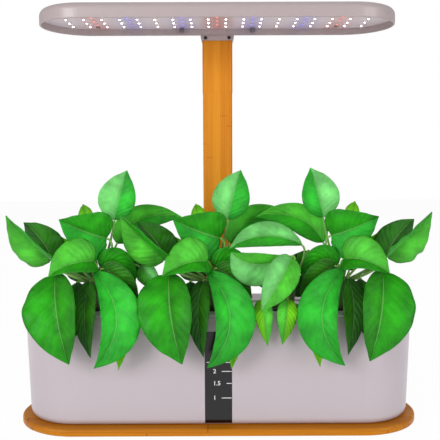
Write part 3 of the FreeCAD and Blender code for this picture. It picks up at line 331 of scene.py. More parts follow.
def printed_scale():
    marks = bmesh.new()
    for height, left, right in STROKES_MM:
        half = STROKE_MM / 2
        corners = [(left, -half), (right, -half), (right, half), (left, half)]
        place = on_window(height)
        low = [marks.verts.new(place @ Vector((x * MM, y * MM, 0))) for x, y in corners]
        high = [marks.verts.new(place @ Vector((x * MM, y * MM, INK_MM * MM))) for x, y in corners]
        marks.faces.new(high)
        marks.faces.new(low[::-1])
        for i in range(4):
            marks.faces.new([low[i], low[(i + 1) % 4], high[(i + 1) % 4], high[i]])
    mesh = bpy.data.meshes.new("level_marks")
    for words, height in NUMBERS_MM:
        text = bpy.data.curves.new("level_number", "FONT")
        text.body = words
        text.size = NUMBER_SIZE_MM * MM
        text.extrude = INK_MM * MM / 2
        text.offset = NUMBER_BOLDER_MM * MM
        text.align_y = "CENTER"
        holder = bpy.data.objects.new("level_number", text)
        bpy.context.scene.collection.objects.link(holder)
        flat = bpy.data.meshes.new_from_object(holder)
        shift = Matrix.Translation((NUMBER_X_MM * MM, 0, INK_MM * MM / 2))
        flat.transform(on_window(height) @ shift)
        marks.from_mesh(flat)
        bpy.data.meshes.remove(flat)
        bpy.data.objects.remove(holder)
        bpy.data.curves.remove(text)
    bmesh.ops.recalc_face_normals(marks, faces=marks.faces)
    marks.to_mesh(mesh)
    marks.free()
    return mesh


white_ink = moulded("screen_ink_white", "#E9E6EA", 0.5, 0.4, 0.004)
level_marks = new_piece("level_marks", printed_scale(), white_ink)
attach(level_marks, "base")


# Circulation pump: a black moulded housing on four suction cups, with a slotted cover, a turning impeller
# with its ferrite magnet, and a short outlet. It stands at the left end of the tank, under the deck.

dress(moulded("abs_pump_moulded_black", "#1E1F20", 0.42, 0.8, 0.02),
      "pump_housing", "pump_cover", "pump_nozzle")
dress(moulded("pom_impeller_moulded", "#3A3C3E", 0.4, 0.7, 0.01), "pump_impeller")
dress(moulded("ferrite_sintered", "#35353A", 0.7, 0.5, 0.03, mottle=0.2), "pump_magnet")


# Pump lead: a round black PVC lead, 3.2 mm thick, that leaves the top of the pump, rises along the back wall
# of the tank and goes through a grommet into the post.

LEAD_D_MM = 3.2
LEAD_POINTS_MM = [(-168, 9, 39.9), (-168, 9, 59.9), (-154, 36, 82), (-128, 49.2, 96), (-60.2, 49.2, 96),
                  (-3.3, 49.2, 96)]
line = bpy.data.curves.new("pump_lead_round", "CURVE")
line.dimensions = "3D"
line.bevel_depth = LEAD_D_MM * MM / 2
line.bevel_resolution = 3
line.resolution_u = 12
line.use_fill_caps = True
route = line.splines.new("NURBS")
route.points.add(len(LEAD_POINTS_MM) - 1)
for point, place in zip(route.points, LEAD_POINTS_MM):
    point.co = [c * MM for c in place] + [1.0]
route.order_u = 3
route.use_endpoint_u = True
pvc_lead = moulded("pvc_lead_extruded_black", "#232324", 0.5, 0.6, 0.015)
line.materials.append(pvc_lead)
pump_lead = bpy.data.objects.new("pump_lead_round", line)
bpy.context.scene.collection.objects.link(pump_lead)
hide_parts("pump_lead")
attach(pump_lead, "base")


# Planting deck, caps and refill lid: ABS a shade whiter than the tank, with a slightly matter top.
# The deck rests on the rim. Each cap has a knob to lift it by, and the lid turns on a steel pin.

deck_abs = moulded("abs_deck_moulded_white", "#D6CED3", 0.4, 1.1, 0.01, mottle=0.02)
dress(deck_abs, "deck", "refill_lid", "pod_cap_1", "pod_cap_2", "pod_cap_3", "pod_cap_4", "pod_cap_5")


# Net baskets: thin polypropylene cups with slots for the roots, hung in the front holes by their flanges.

dress(moulded("polypropylene_basket_moulded", "#26282A", 0.45, 0.9, 0.015),
      "net_basket_1", "net_basket_2", "net_basket_3", "net_basket_4")


# Grow sponges: plugs of open-cell foam soaked brown with peat, a little swollen, one in each basket.
# The foam is torn and pitted on top, where the stem comes through.

DECK_TOP_MM = 120.2
HOLES_MM = {1: (-130.0, -24.0), 2: (0.0, -24.0), 3: (65.0, -24.0), 4: (130.0, -24.0)}
SPONGE_LOW_MM = 73.7
SPONGE_TOP_MM = 118.0
SPONGE_R_LOW_MM = 10.7
SPONGE_R_TOP_MM = 14.6
PORE_MM = 0.8
PORE_DEEP_MM = 0.5
DAMP_PER_METRE = 160.0
AROUND = 36


def peat_foam():
    material, tree = start_material("foam_open_cell_peat_brown")
    place = add_node(tree, "ShaderNodeTexCoord").outputs["Object"]
    pores = add_node(tree, "ShaderNodeTexVoronoi", {"Vector": place, "Scale": 1 / (PORE_MM * MM)},
                     feature="SMOOTH_F1").outputs["Distance"]
    damp = add_node(tree, "ShaderNodeTexNoise", {"Vector": place, "Scale": DAMP_PER_METRE,
                                                 "Detail": 4.0}).outputs["Fac"]
    colour = add_node(tree, "ShaderNodeMix", {0: damp, 6: linear("#1D1509"), 7: linear("#54421F")},
                      data_type="RGBA").outputs[2]
    # Painted shade: the foam is darkest in the sunken middles of its pores.
    colour = add_node(tree, "ShaderNodeMix", {0: pores, 6: linear("#120D06"), 7: colour},
                      data_type="RGBA").outputs[2]
    relief = add_node(tree, "ShaderNodeBump", {"Height": pores, "Strength": 0.9,
                                               "Distance": PORE_DEEP_MM * MM}).outputs[0]
    surface = add_node(tree, "ShaderNodeBsdfPrincipled", {"Base Color": colour, "Roughness": 0.85,
                                                          "Normal": relief, "IOR": 1.4})
    add_node(tree, "ShaderNodeOutputMaterial", {"Surface": surface.outputs[0]})
    return material


def sponge_mesh(name, hole, seed):
    """A tapered plug with a rounded, uneven top."""
    chance = random.Random(seed)
    rings = [(0.0, 0.0), (0.0, 0.5), (0.0, 0.92), (0.02, 1.0), (0.15, 1.0), (0.35, 1.0), (0.55, 1.0),
             (0.75, 1.0), (0.9, 1.0), (0.965, 0.98), (0.992, 0.9), (1.0, 0.7), (1.0, 0.45), (1.0, 0.0)]
    body = bmesh.new()
    rows = []
    for up, out in rings:
        z = SPONGE_LOW_MM + (SPONGE_TOP_MM - SPONGE_LOW_MM) * up
        full = SPONGE_R_LOW_MM + (SPONGE_R_TOP_MM - SPONGE_R_LOW_MM) * up
        if out == 0.0:
            rows.append([body.verts.new((hole[0] * MM, hole[1] * MM, z * MM))])
            continue
        row = []
        for i in range(AROUND):
            angle = 2 * math.pi * i / AROUND
            r = full * out * (1 + chance.uniform(-0.015, 0.015))
            dz = chance.uniform(-0.5, 0.2) if up > 0.95 else 0.0
            spot = Vector((hole[0] + r * math.cos(angle), hole[1] + r * math.sin(angle), z + dz))
            row.append(body.verts.new(spot * MM))
        rows.append(row)
    for low, high in zip(rows, rows[1:]):
        for i in range(AROUND):
            j = (i + 1) % AROUND
            if len(low) == 1:
                body.faces.new([low[0], high[j], high[i]])
            elif len(high) == 1:
                body.faces.new([low[i], low[j], high[0]])
            else:
                body.faces.new([low[i], low[j], high[j], high[i]])
    mesh = bpy.data.meshes.new(name)
    body.to_mesh(mesh)
    body.free()
    mesh.shade_smooth()
    return mesh


foam = peat_foam()
for number, hole in HOLES_MM.items():
    sponge = new_piece("grow_foam_%d" % number, sponge_mesh("grow_foam_%d" % number, hole, number), foam)
    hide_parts("grow_sponge_%d" % number)
    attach(sponge, "deck")


# Plants: young heart-leaved creepers. Each blade is a thin waxy skin over sunken side veins, folded a little
# along its midrib and waved at its edge, on a round stalk that rises from a short brown crown.
# A leaf is base, middle and tip of its midrib from the middle of its hole on the deck, the half widths on
# either side, the roll and the fold in degrees, how far out its belly lies, and the names of the greens of
# its two halves, which carry painted light and shade along the fold.

# Painted light and shade: on each blade the half that faces the lamps takes a lighter green and the half
# turned away a darker one. 'pale' is a painted mint highlight, and 'shade' and 'dark' are painted shade,
# given whole to the leaves at the back that fill the gaps.
LIT_AND_SHADED_GREENS = {"pale": "#7EDD78", "young": "#55C936", "bright": "#74CF06", "fresh": "#2AB428", "mid": "#279F0A",
          "deep": "#258A02", "shade": "#2C7604", "dark": "#1E5403"}
BUSHY_MM = [
    ((-35, -12, 51), (-52, -26, 72), (-71, -38, 97), 24, 25, -42, 30, 0.60, "mid", "young"),
    ((-40, 10, 49), (-51, 14, 68), (-70, 18, 86), 20, 20, 0, 12, 0.60, "shade", "dark"),
    ((7, -14, 49), (-11, -31, 49), (-31, -42, 38), 25, 20, 36, 30, 0.62, "young", "mid"),
    ((18, 0, 71), (-3, -8, 79), (-27, -12, 91), 26, 27, 0, 14, 0.50, "mid", "fresh"),
    ((24, 16, 89), (29, 16, 113), (37, 20, 139), 19, 21, 0, 16, 0.80, "fresh", "pale"),
    ((-8, 38, 85), (-11, 42, 94), (-14, 46, 103), 8, 8, 0, 10, 0.70, "bright", "bright"),
    ((-27, -30, 38), (-20, -56, 2), (-9, -60, -41), 32, 24, 10, 20, 0.76, "mid", "deep"),
    ((4, -20, 30), (3, -43, 0), (9, -48, -38), 12, 12, 10, 14, 0.70, "dark", "shade"),
    ((-10, -15, 28), (-7, -36, 1), (-15, -41, -27), 14, 12, 10, 12, 0.70, "shade", "dark"),
    ((8, -20, 40), (34, -50, -1), (13, -56, -46), 15, 25, -8, 20, 0.95, "fresh", "fresh"),
    ((12, -5, 43), (31, -3, 46), (46, 5, 22), 13, 15, 0, 10, 0.70, "deep", "mid"),
    ((17, -14, 42), (36, -19, 31), (52, -22, 13), 13, 13, 0, 12, 0.70, "dark", "shade"),
    ((28, -28, 15), (36, -42, -17), (35, -46, -50), 9, 9, 0, 10, 0.80, "bright", "bright"),
    ((18, 25, 25), (35, 28, 38), (57, 30, 46), 17, 17, 0, 12, 0.70, "dark", "dark"),
    ((-16, 8, 48), (-22, 10, 58), (-30, 10, 72), 9, 9, 0, 10, 0.70, "bright", "mid"),
]
REAR_MM = ((-4, 22, 26), (-16, 27, 44), (-34, 30, 62), 18, 18, 0, 12, 0.70, "dark", "dark")
REAR_BESIDE_LID_MM = ((-5, 25, 32), (-13, 29, 57), (-21, 31, 82), 12, 12, 0, 12, 0.70, "dark", "dark")
SIDE_MM = ((50, 12, 40), (60, 8, 30), (72, 2, 14), 11, 11, 0, 12, 0.70, "young", "pale")
LONG_MM = ((23, 38, 62), (50, 44, 88), (94, 40, 88), 16, 16, 0, 12, 0.70, "mid", "young")
LONG_FORWARD_MM = ((23, 22, 62), (50, 26, 88), (94, 24, 88), 16, 16, 0, 12, 0.70, "mid", "young")
SPREADING_MM = [
    ((20, 6, 63), (-19, -10, 74), (-54, -22, 62), 15, 11, 0, 14, 0.95, "pale", "mid"),
    ((9, -4, 53), (-28, -20, 47), (-52, -26, 60), 12, 22, 0, 14, 1.05, "young", "pale"),
    ((7, -18, 53), (-8, -40, 31), (-24, -48, 6), 17, 17, 0, 16, 0.70, "pale", "young"),
    ((-23, -34, 14), (-21, -42, -5), (-18, -44, -28), 9, 9, 0, 10, 0.60, "bright", "young"),
    ((2, -34, 14), (0, -42, -5), (-4, -44, -27), 10, 10, 0, 10, 0.60, "young", "bright"),
    ((27, 15, 54), (22, 13, 45), (17, 13, 36), 8, 8, 0, 10, 0.60, "shade", "mid"),
    ((8, 14, 20), (22, 20, 18), (38, 22, 10), 12, 12, 0, 10, 0.70, "dark", "dark"),
]
PLANTS_MM = {
    1: (BUSHY_MM + [REAR_MM, SIDE_MM, LONG_MM], False, 0, 0, 0),
    2: (BUSHY_MM + [REAR_MM, SIDE_MM, LONG_MM], False, -16, 0, 0.14),
    3: (SPREADING_MM, False, 0, 0, 0),
    4: (BUSHY_MM + [REAR_BESIDE_LID_MM, LONG_FORWARD_MM], True, 2, 2, 0),
}
BLADE_MM = 0.8
ROWS_ALONG = 30
COLUMNS_EACH_SIDE = 8
STALK_R_MM = 1.1
CROWN_MM = [((0, 0, -2), 11.4), ((2, -1, 8), 10.4), ((5, -2, 20), 8.2), ((8, -4, 30), 6.2),
            ((8.5, -4, 32), 3.0)]
CROWN_H_MM = 34.0
CROWN_TINTS = ("#3B2C12", "#4A5A1C")
STALK_TINTS = ("#5E7A24", "#69B13A")
SIDE_VEINS = 9.0
VEIN_SWEEP = 2.6
VEIN_GREEN = "#BFE59A"
RIM_WAVE = 0.04
FINE_WAVE = 0.02
RIB_DEEP_MM = 0.35
LOBE = 0.22
PATCHES_PER_METRE = 70.0
QUILT_MM = 0.8
FIRST_SEED = 40
# Painted highlight: each blade is lighter in a soft patch across its belly, out from the midrib on both
# halves.
PAINTED_HIGHLIGHT_ALONG, PAINTED_HIGHLIGHT_LONG = 0.42, 0.26
PAINTED_HIGHLIGHT_OUT, PAINTED_HIGHLIGHT_WIDE = 0.4, 0.42
BLADE_TONE = 0.66
PAINTED_HIGHLIGHT_TONE = 0.5


def placed_leaf(leaf, mirror, dx, dz, slant):
    side = -1 if mirror else 1
    points = [Vector((side * x + dx + slant * y, y, z + dz)) for x, y, z in leaf[:3]]
    left, right, roll, fold, belly, left_green, right_green = leaf[3:]
    if mirror:
        left, right, roll = right, left, -roll
        left_green, right_green = right_green, left_green
    return points, left, right, roll, fold, belly, linear(LIT_AND_SHADED_GREENS[left_green]), linear(LIT_AND_SHADED_GREENS[right_green])


def midrib(points, t):
    base, middle, tip = points
    pull = middle * 2 - (base + tip) * 0.5
    point = base * (1 - t) ** 2 + pull * (2 * t * (1 - t)) + tip * t ** 2
    way = (pull - base) * (1 - t) + (tip - pull) * t
    return point, way.normalized()


def across_and_out(way, roll):
    """The directions across the blade and out of its face, for a leaf that faces the front, then rolls."""
    front = Vector((0, -1, 0))
    face = front - way * way.dot(front)
    if face.length < 0.25:
        face = Vector((0, 0, 1)) - way * way.z
    face.normalize()
    side = way.cross(face)
    angle = math.radians(roll)
    out = face * math.cos(angle) + side * math.sin(angle)
    return way.cross(out), out


def add_blade(plant, tint, uv, leaf, origin, chance):
    """One blade as a single curved skin, with its own wave and its heart-shaped base."""
    points, left, right, roll, fold, belly, left_green, right_green = leaf
    tone = chance.uniform(0.92, 1.08)
    waves = chance.uniform(1.6, 2.6)
    start = chance.uniform(0, 6.28)
    grid = []
    for row in range(ROWS_ALONG + 1):
        t = 0.003 + 0.994 * row / ROWS_ALONG
        point, way = midrib(points, t)
        side, out = across_and_out(way, roll)
        share = math.sin(math.pi * t ** belly) ** 0.8
        share *= 1 - 0.3 * max(0.0, (t - 0.82) / 0.18)
        lobe = LOBE * math.exp(-t / 0.1)
        line = []
        for column in range(-COLUMNS_EACH_SIDE, COLUMNS_EACH_SIDE + 1):
            u = column / COLUMNS_EACH_SIDE
            width = (left if u > 0 else right) * share
            lean = math.radians(fold)
            rise = math.sin(lean) * abs(u) * (1.25 - 0.45 * abs(u))
            wave = RIM_WAVE * u * u * math.sin(2 * math.pi * waves * t + start + (1.3 if u > 0 else 0.0))
            wave += FINE_WAVE * abs(u) * math.sin(2 * math.pi * 4.3 * t + 3 * u + start)
            wave += FINE_WAVE * abs(u) * math.sin(2 * math.pi * (5.0 * t - 1.6 * abs(u)) + 2 * start)
            sink = -RIB_DEEP_MM * math.exp(-(u / 0.07) ** 2)
            spot = point + side * (math.cos(lean) * u * width) + out * ((rise + wave) * width + sink)
            spot -= way * (lobe * width * abs(u) ** 1.4)
            vertex = plant.verts.new((origin + spot) * MM)
            # Each half takes its own green, with painted light and shade along the fold, and the patch across
            # the belly is a painted highlight.
            half = min(1.0, max(0.0, u * 5 + 0.5))
            lengthways = (t - PAINTED_HIGHLIGHT_ALONG) / PAINTED_HIGHLIGHT_LONG
            sideways = (abs(u) - PAINTED_HIGHLIGHT_OUT) / PAINTED_HIGHLIGHT_WIDE
            painted_highlight = math.exp(-lengthways ** 2 - sideways ** 2)
            shade = tone * (BLADE_TONE + PAINTED_HIGHLIGHT_TONE * painted_highlight)
            vertex[tint] = [(a + (b - a) * half) * shade for a, b in zip(right_green, left_green)][:3] + [1.0]
            line.append((vertex, (u * 0.5 + 0.5, t)))
        grid.append(line)
    for low, high in zip(grid, grid[1:]):
        for i in range(len(low) - 1):
            quad = [low[i], high[i], high[i + 1], low[i + 1]]
            face = plant.faces.new([corner[0] for corner in quad])
            face.smooth = True
            for loop, corner in zip(face.loops, quad):
                loop[uv].uv = corner[1]


def add_tube(plant, tint, uv, spine, colours, around=10):
    """A closed tube through (point, radius) pairs, in millimetres."""
    rings = []
    frame_side = None
    for i, (point, radius) in enumerate(spine):
        before = spine[max(0, i - 1)][0]
        after = spine[min(len(spine) - 1, i + 1)][0]
        way = (after - before).normalized()
        if frame_side is None:
            frame_side = way.orthogonal().normalized()
        frame_side = (frame_side - way * way.dot(frame_side)).normalized()
        other = way.cross(frame_side)
        share = i / (len(spine) - 1)
        colour = [a + (b - a) * share for a, b in zip(*colours)]
        ring = []
        for k in range(around):
            angle = 2 * math.pi * k / around
            away = frame_side * math.cos(angle) + other * math.sin(angle)
            vertex = plant.verts.new((point + away * radius) * MM)
            vertex[tint] = colour
            ring.append(vertex)
        rings.append(ring)
    faces = [plant.faces.new(rings[0][::-1]), plant.faces.new(rings[-1])]
    for low, high in zip(rings, rings[1:]):
        for k in range(around):
            j = (k + 1) % around
            faces.append(plant.faces.new([low[k], low[j], high[j], high[k]]))
    for face in faces:
        face.smooth = True
        for loop in face.loops:
            loop[uv].uv = (0.5, 0.5)


def stalk_spine(leaf, top, origin):
    """From the crown to the base of the blade, leaving along the midrib."""
    base, way = midrib(leaf[0], 0.01)
    away = Vector((base.x - top.x, base.y - top.y, 0)).normalized()
    start = top + away * 2.5 + Vector((0, 0, -3))
    reach = max(0.35 * (base - start).length, 4.0)
    corner = base - way * reach
    spine = []
    for i in range(11):
        t = i / 10
        point = start * (1 - t) ** 2 + corner * (2 * t * (1 - t)) + base * t ** 2
        spine.append((origin + point, STALK_R_MM * (1.35 - 0.45 * t)))
    return spine


def plant_meshes(number):
    """The blades as one open skin, and the crown with its stalks as closed tubes."""
    leaves, mirror, dx, dz, slant = PLANTS_MM[number]
    x, y = HOLES_MM[number]
    origin = Vector((x, y, DECK_TOP_MM))
    chance = random.Random(FIRST_SEED + number)
    placed = [placed_leaf(leaf, mirror, dx, dz, slant) for leaf in leaves]
    made = []
    for kind in ("blades", "stalks"):
        body = bmesh.new()
        tint = body.verts.layers.float_color.new("leaf_tint")
        uv = body.loops.layers.uv.new("blade")
        if kind == "blades":
            for leaf in placed:
                add_blade(body, tint, uv, leaf, origin, chance)
        else:
            side = -1 if mirror else 1
            crown = [(origin + Vector((side * p[0] + dx * p[2] / CROWN_H_MM, p[1], p[2])), r)
                     for p, r in CROWN_MM]
            top = crown[3][0] - origin
            add_tube(body, tint, uv, crown, [linear(code) for code in CROWN_TINTS], 16)
            for leaf in placed:
                spine = stalk_spine(leaf, top, origin)
                add_tube(body, tint, uv, spine, [linear(code) for code in STALK_TINTS])
        mesh = bpy.data.meshes.new("plant_%s_%d" % (kind, number))
        body.to_mesh(mesh)
        body.free()
        made.append(mesh)
    return made


def leaf_skin(name, brighten, roughness, shine, coat):
    """The skin: paler midrib, side veins that sweep towards the tip, and a quilted relief between them."""
    material, tree = start_material(name)
    tint = add_node(tree, "ShaderNodeAttribute", attribute_name="leaf_tint").outputs["Color"]
    place = add_node(tree, "ShaderNodeTexCoord").outputs["Object"]
    blade = add_node(tree, "ShaderNodeUVMap", uv_map="blade").outputs[0]
    axes = add_node(tree, "ShaderNodeSeparateXYZ", {0: blade}).outputs
    u = add_node(tree, "ShaderNodeMath", {0: axes["X"], 1: 0.5}, operation="SUBTRACT").outputs[0]
    u = add_node(tree, "ShaderNodeMath", {0: u}, operation="ABSOLUTE").outputs[0]
    cells = add_node(tree, "ShaderNodeTexNoise", {"Vector": place, "Scale": PATCHES_PER_METRE,
                                                  "Detail": 3.0}).outputs["Fac"]
    swept = add_node(tree, "ShaderNodeMath", {0: u, 1: -2.0 * VEIN_SWEEP}, operation="MULTIPLY").outputs[0]
    phase = add_node(tree, "ShaderNodeMath", {0: axes["Y"], 1: SIDE_VEINS, 2: swept},
                     operation="MULTIPLY_ADD").outputs[0]
    phase = add_node(tree, "ShaderNodeMath", {0: cells, 1: 0.5, 2: phase},
                     operation="MULTIPLY_ADD").outputs[0]
    turn = add_node(tree, "ShaderNodeMath", {0: phase, 1: 2 * math.pi}, operation="MULTIPLY").outputs[0]
    wave = add_node(tree, "ShaderNodeMath", {0: turn}, operation="COSINE").outputs[0]
    vein = add_node(tree, "ShaderNodeMapRange", {"Value": wave, "From Min": 0.8, "From Max": 1.0},
                    interpolation_type="SMOOTHSTEP").outputs[0]
    rib = add_node(tree, "ShaderNodeMapRange", {
        "Value": u, "From Min": 0.006, "From Max": 0.02, "To Min": 1.0, "To Max": 0.0},
        interpolation_type="SMOOTHSTEP").outputs[0]
    lines = add_node(tree, "ShaderNodeMath", {0: vein, 1: 0.1, 2: rib}, operation="MULTIPLY_ADD",
                     use_clamp=True).outputs[0]
    pale = add_node(tree, "ShaderNodeMix", {0: 0.5, 6: tint, 7: linear(VEIN_GREEN)},
                    data_type="RGBA").outputs[2]
    patchy = add_node(tree, "ShaderNodeMapRange", {
        "Value": cells, "From Min": 0.3, "From Max": 0.7, "To Min": 0.72 * brighten,
        "To Max": 1.28 * brighten}).outputs[0]
    body = add_node(tree, "ShaderNodeVectorMath", {0: tint, "Scale": patchy}, operation="SCALE").outputs[0]
    share = add_node(tree, "ShaderNodeMath", {0: lines, 1: 0.45}, operation="MULTIPLY").outputs[0]
    colour = add_node(tree, "ShaderNodeMix", {0: share, 6: body, 7: pale}, data_type="RGBA").outputs[2]
    quilt = add_node(tree, "ShaderNodeMath", {0: wave, 1: -0.3}, operation="MULTIPLY").outputs[0]
    quilt = add_node(tree, "ShaderNodeMath", {0: rib, 1: -1.2, 2: quilt}, operation="MULTIPLY_ADD").outputs[0]
    quilt = add_node(tree, "ShaderNodeMath", {0: cells, 1: 2.4, 2: quilt},
                     operation="MULTIPLY_ADD").outputs[0]
    relief = add_node(tree, "ShaderNodeBump", {"Height": quilt, "Strength": 0.5,
                                               "Distance": QUILT_MM * MM}).outputs[0]
    gloss = add_node(tree, "ShaderNodeMapRange", {"Value": cells, "To Min": roughness - 0.06,
                                                  "To Max": roughness + 0.08}).outputs[0]
    surface = add_node(tree, "ShaderNodeBsdfPrincipled", {
        "Base Color": colour, "Roughness": gloss, "Normal": relief, "IOR": 1.45, "Specular IOR Level": shine,
        "Specular Tint": linear("#A6F2B4"), "Coat Weight": coat, "Coat Roughness": 0.22,
        "Subsurface Weight": 0.12, "Subsurface Radius": (0.3, 1.0, 0.15), "Subsurface Scale": 1.2 * MM})
    add_node(tree, "ShaderNodeOutputMaterial", {"Surface": surface.outputs[0]})
    return material


leaf_face = leaf_skin("leaf_waxy_upper_skin", 1.12, 0.3, 1.0, 0.15)
leaf_back = leaf_skin("leaf_matt_under_skin", 1.0, 0.5, 0.6, 0.0)
for number in PLANTS_MM:
    blades, stalks = plant_meshes(number)
    plant = new_piece("plant_leaves_%d" % number, blades, leaf_face, leaf_back)
    skin = plant.modifiers.new("blade_thickness", "SOLIDIFY")
    skin.thickness = BLADE_MM * MM
    skin.offset = -1.0
    skin.material_offset = 1
    stems = new_piece("plant_stalks_%d" % number, stalks, leaf_back)
    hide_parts("plant_%d" % number)
    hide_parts("plant_%d" % number)
    for piece in (plant, stems):
        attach(piece, "deck")


# Lamp head: a shallow tray of satin ABS, upside down and a little warmer than the tank. A bracket of the same
# grips the head of the post. Two push-buttons with grey caps stand in its top, for the light and the pump.

dress(moulded("abs_lamp_moulded_satin", "#AFA0A1", 0.36, 1.4, 0.006, mottle=0.015, coat=0.1),
      "lamp_housing", "lamp_bracket")
dress(moulded("abs_button_moulded_grey", "#A9A2A6", 0.45, 0.5, 0.02), "light_button", "pump_button")


# Light board: an aluminium board under white solder mask, screwed into the tray behind the rim.
# Its colour carries painted light: a faint rose-white glow over the whole mask, and warm red and violet blue
# glow between the white ones.

RED_AT_MM = (0.0, 125.3)
BLUE_AT_MM = (35.8, 89.5)
RED_PAINTED_GLOW = "#FF6A3C"
BLUE_PAINTED_GLOW = "#6A6BFF"
PAINTED_GLOW_MM = 11.0
SPECKS_PER_METRE = 900.0
MASK_DEEP_MM = 0.01


def solder_mask_painted_glow():
    material, tree = start_material("solder_mask_white_painted_glow")
    place = add_node(tree, "ShaderNodeTexCoord").outputs["Object"]
    axes = add_node(tree, "ShaderNodeSeparateXYZ", {0: place}).outputs
    across = add_node(tree, "ShaderNodeMath", {0: axes["X"]}, operation="ABSOLUTE").outputs[0]
    speck = add_node(tree, "ShaderNodeTexNoise", {"Vector": place, "Scale": SPECKS_PER_METRE,
                                                  "Detail": 2.0}).outputs["Fac"]
    lights = []
    for places, colour in ((RED_AT_MM, RED_PAINTED_GLOW), (BLUE_AT_MM, BLUE_PAINTED_GLOW)):
        total = None
        for at in places:
            off = add_node(tree, "ShaderNodeMath", {0: across, 1: at * MM}, operation="SUBTRACT").outputs[0]
            off = add_node(tree, "ShaderNodeMath", {0: off, 1: PAINTED_GLOW_MM * MM}, operation="DIVIDE").outputs[0]
            off = add_node(tree, "ShaderNodeMath", {0: off, 1: off}, operation="MULTIPLY").outputs[0]
            off = add_node(tree, "ShaderNodeMath", {0: off, 1: -1.0}, operation="MULTIPLY").outputs[0]
            bell = add_node(tree, "ShaderNodeMath", {0: off}, operation="EXPONENT").outputs[0]
            if total is not None:
                bell = add_node(tree, "ShaderNodeMath", {0: bell, 1: total}, operation="ADD").outputs[0]
            total = bell
        lights.append((total, colour))
    # The white mask has a rose-grey base: painted shade and painted rose light.
    base = add_node(tree, "ShaderNodeMix", {0: speck, 6: linear("#AA9CA4"), 7: linear("#B4A7AE")},
                    data_type="RGBA").outputs[2]
    # Painted glow: a faint rose-white emission over the whole mask, which turns warm red and violet blue in
    # pools around the coloured lights.
    shine = linear("#FFEDF2")
    for strength, colour in lights:
        share = add_node(tree, "ShaderNodeMath", {0: strength, 1: 0.8}, operation="MULTIPLY",
                         use_clamp=True).outputs[0]
        shine = add_node(tree, "ShaderNodeMix", {0: share, 6: shine, 7: linear(colour)},
                         data_type="RGBA").outputs[2]
    relief = add_node(tree, "ShaderNodeBump", {"Height": speck, "Strength": 0.2,
                                               "Distance": MASK_DEEP_MM * MM}).outputs[0]
    surface = add_node(tree, "ShaderNodeBsdfPrincipled", {
        "Base Color": base, "Roughness": 0.4, "Normal": relief, "Emission Color": shine,
        "Emission Strength": 0.17})
    add_node(tree, "ShaderNodeOutputMaterial", {"Surface": surface.outputs[0]})
    return material


dress(solder_mask_painted_glow(), "light_board")
dress(moulded("solder_mask_green", "#1F5A38", 0.35, 0.8, 0.02), "driver_board")
dress(black_nylon, "key_switches")
dress(moulded("nylon_stud_moulded_grey", "#6E666B", 0.5, 0.6, 0.02), "board_studs")


# Lights: packages of white ceramic, each with a drop of silicone over its chip. The drops are cast clear in
# four rows of white lights and three rows of coloured ones, and shine when the lamp is on.

GRAINS_PER_METRE = 1500.0


def light_drop(name, body, core, strength):
    """Cast silicone with the glow of its chip."""
    material, tree = start_material(name)
    place = add_node(tree, "ShaderNodeTexCoord").outputs["Object"]
    grain = add_node(tree, "ShaderNodeTexNoise", {"Vector": place, "Scale": GRAINS_PER_METRE,
                                                  "Detail": 1.0}).outputs["Fac"]
    colour = add_node(tree, "ShaderNodeMix", {0: grain, 6: linear(body), 7: linear(core)},
                      data_type="RGBA").outputs[2]
    surface = add_node(tree, "ShaderNodeBsdfPrincipled", {
        "Base Color": colour, "Roughness": 0.3, "Emission Color": colour, "Emission Strength": strength})
    add_node(tree, "ShaderNodeOutputMaterial", {"Surface": surface.outputs[0]})
    return material


WHITE_LIGHT = light_drop("silicone_drop_lit_white", "#FFF3EC", "#FFFFFF", 12.0)
RED_LIGHT = light_drop("silicone_drop_lit_red", "#FF5A30", "#FF7A4A", 1.6)
BLUE_LIGHT = light_drop("silicone_drop_lit_blue", "#5A58FF", "#7A78FF", 1.6)
dress(moulded("ceramic_led_package_white", "#DCD2D8", 0.4, 0.5, 0.004), "white_leds", "red_leds", "blue_leds")

LIGHT_PITCH_MM = 17.9
LIGHT_ROW_Y_MM = 1.4
CHIP_FACE_Z_MM = 410.4
DROP_R_MM = 0.95
DROP_H_MM = 0.55


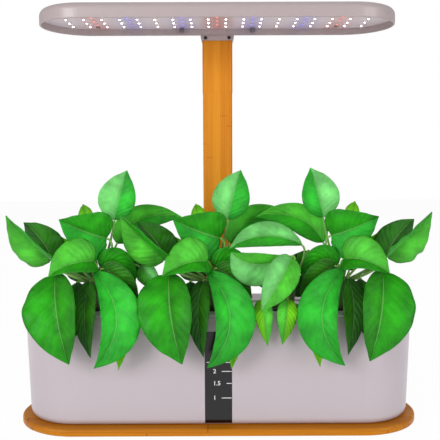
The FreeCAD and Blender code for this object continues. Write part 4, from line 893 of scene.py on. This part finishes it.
def drop_tree(material):
    """A grid of squashed half beads, one under each light."""
    tree = bpy.data.node_groups.new("silicone_drops", "GeometryNodeTree")
    face = tree.interface
    face.new_socket("Geometry", in_out="OUTPUT", socket_type="NodeSocketGeometry")
    wanted = {"Columns": ("NodeSocketInt", 18), "Rows": ("NodeSocketInt", 4),
              "Pitch Across": ("NodeSocketFloat", 0.02), "Pitch Back": ("NodeSocketFloat", 0.02),
              "Centre": ("NodeSocketVector", (0, 0, 0)), "Drop Radius": ("NodeSocketFloat", 0.001),
              "Drop Height": ("NodeSocketFloat", 0.0005)}
    sockets = {}
    for name, (kind, value) in wanted.items():
        socket = face.new_socket(name, in_out="INPUT", socket_type=kind)
        socket.default_value = value
        sockets[name] = socket.identifier
    given = add_node(tree, "NodeGroupInput").outputs
    spans = []
    for count, pitch in (("Columns", "Pitch Across"), ("Rows", "Pitch Back")):
        steps = add_node(tree, "ShaderNodeMath", {0: given[count], 1: 1.0}, operation="SUBTRACT").outputs[0]
        span = add_node(tree, "ShaderNodeMath", {0: steps, 1: given[pitch]}, operation="MULTIPLY").outputs[0]
        spans.append(span)
    grid = add_node(tree, "GeometryNodeMeshGrid", {
        "Size X": spans[0], "Size Y": spans[1], "Vertices X": given["Columns"], "Vertices Y": given["Rows"]})
    moved = add_node(tree, "GeometryNodeTransform", {"Geometry": grid.outputs[0],
                                                     "Translation": given["Centre"]})
    bead = add_node(tree, "GeometryNodeMeshUVSphere", {"Segments": 10, "Rings": 6, "Radius": 1.0})
    size = add_node(tree, "ShaderNodeCombineXYZ", {0: given["Drop Radius"], 1: given["Drop Radius"],
                                                   2: given["Drop Height"]})
    smooth = add_node(tree, "GeometryNodeSetShadeSmooth", {"Geometry": bead.outputs[0]})
    spread = add_node(tree, "GeometryNodeInstanceOnPoints", {
        "Points": moved.outputs[0], "Instance": smooth.outputs[0], "Scale": size.outputs[0]})
    real = add_node(tree, "GeometryNodeRealizeInstances", {0: spread.outputs[0]})
    painted = add_node(tree, "GeometryNodeSetMaterial", {"Geometry": real.outputs[0], "Material": material})
    add_node(tree, "NodeGroupOutput", {0: painted.outputs[0]})
    return tree, sockets


def make_drops(name, material, groups):
    """Plain meshes of drops for each (columns, rows, pitch across, centre X) group, joined into one piece."""
    joined = bmesh.new()
    for columns, rows, pitch, centre in groups:
        tree, sockets = drop_tree(material)
        holder = bpy.data.objects.new(name, bpy.data.meshes.new(name))
        bpy.context.scene.collection.objects.link(holder)
        maker = holder.modifiers.new("drops", "NODES")
        maker.node_group = tree
        maker[sockets["Columns"]] = columns
        maker[sockets["Rows"]] = rows
        maker[sockets["Pitch Across"]] = pitch * MM
        maker[sockets["Pitch Back"]] = LIGHT_PITCH_MM * MM
        maker[sockets["Centre"]] = (centre * MM, LIGHT_ROW_Y_MM * MM, CHIP_FACE_Z_MM * MM)
        maker[sockets["Drop Radius"]] = DROP_R_MM * MM
        maker[sockets["Drop Height"]] = DROP_H_MM * MM
        shaped = holder.evaluated_get(bpy.context.evaluated_depsgraph_get())
        plain = bpy.data.meshes.new_from_object(shaped)
        joined.from_mesh(plain)
        bpy.data.objects.remove(holder)
        bpy.data.meshes.remove(plain)
    mesh = bpy.data.meshes.new(name)
    joined.to_mesh(mesh)
    joined.free()
    mesh.shade_smooth()
    drops = new_piece(name, mesh, material)
    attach(drops, "lamp")


make_drops("white_light_drops", WHITE_LIGHT, [(18, 4, LIGHT_PITCH_MM, 0.0)])
make_drops("red_light_drops", RED_LIGHT, [(3, 3, 7 * LIGHT_PITCH_MM, 0.0)])
make_drops("blue_light_drops", BLUE_LIGHT,
           [(2, 3, 4 * LIGHT_PITCH_MM, 0.0), (2, 3, 10 * LIGHT_PITCH_MM, 0.0)])
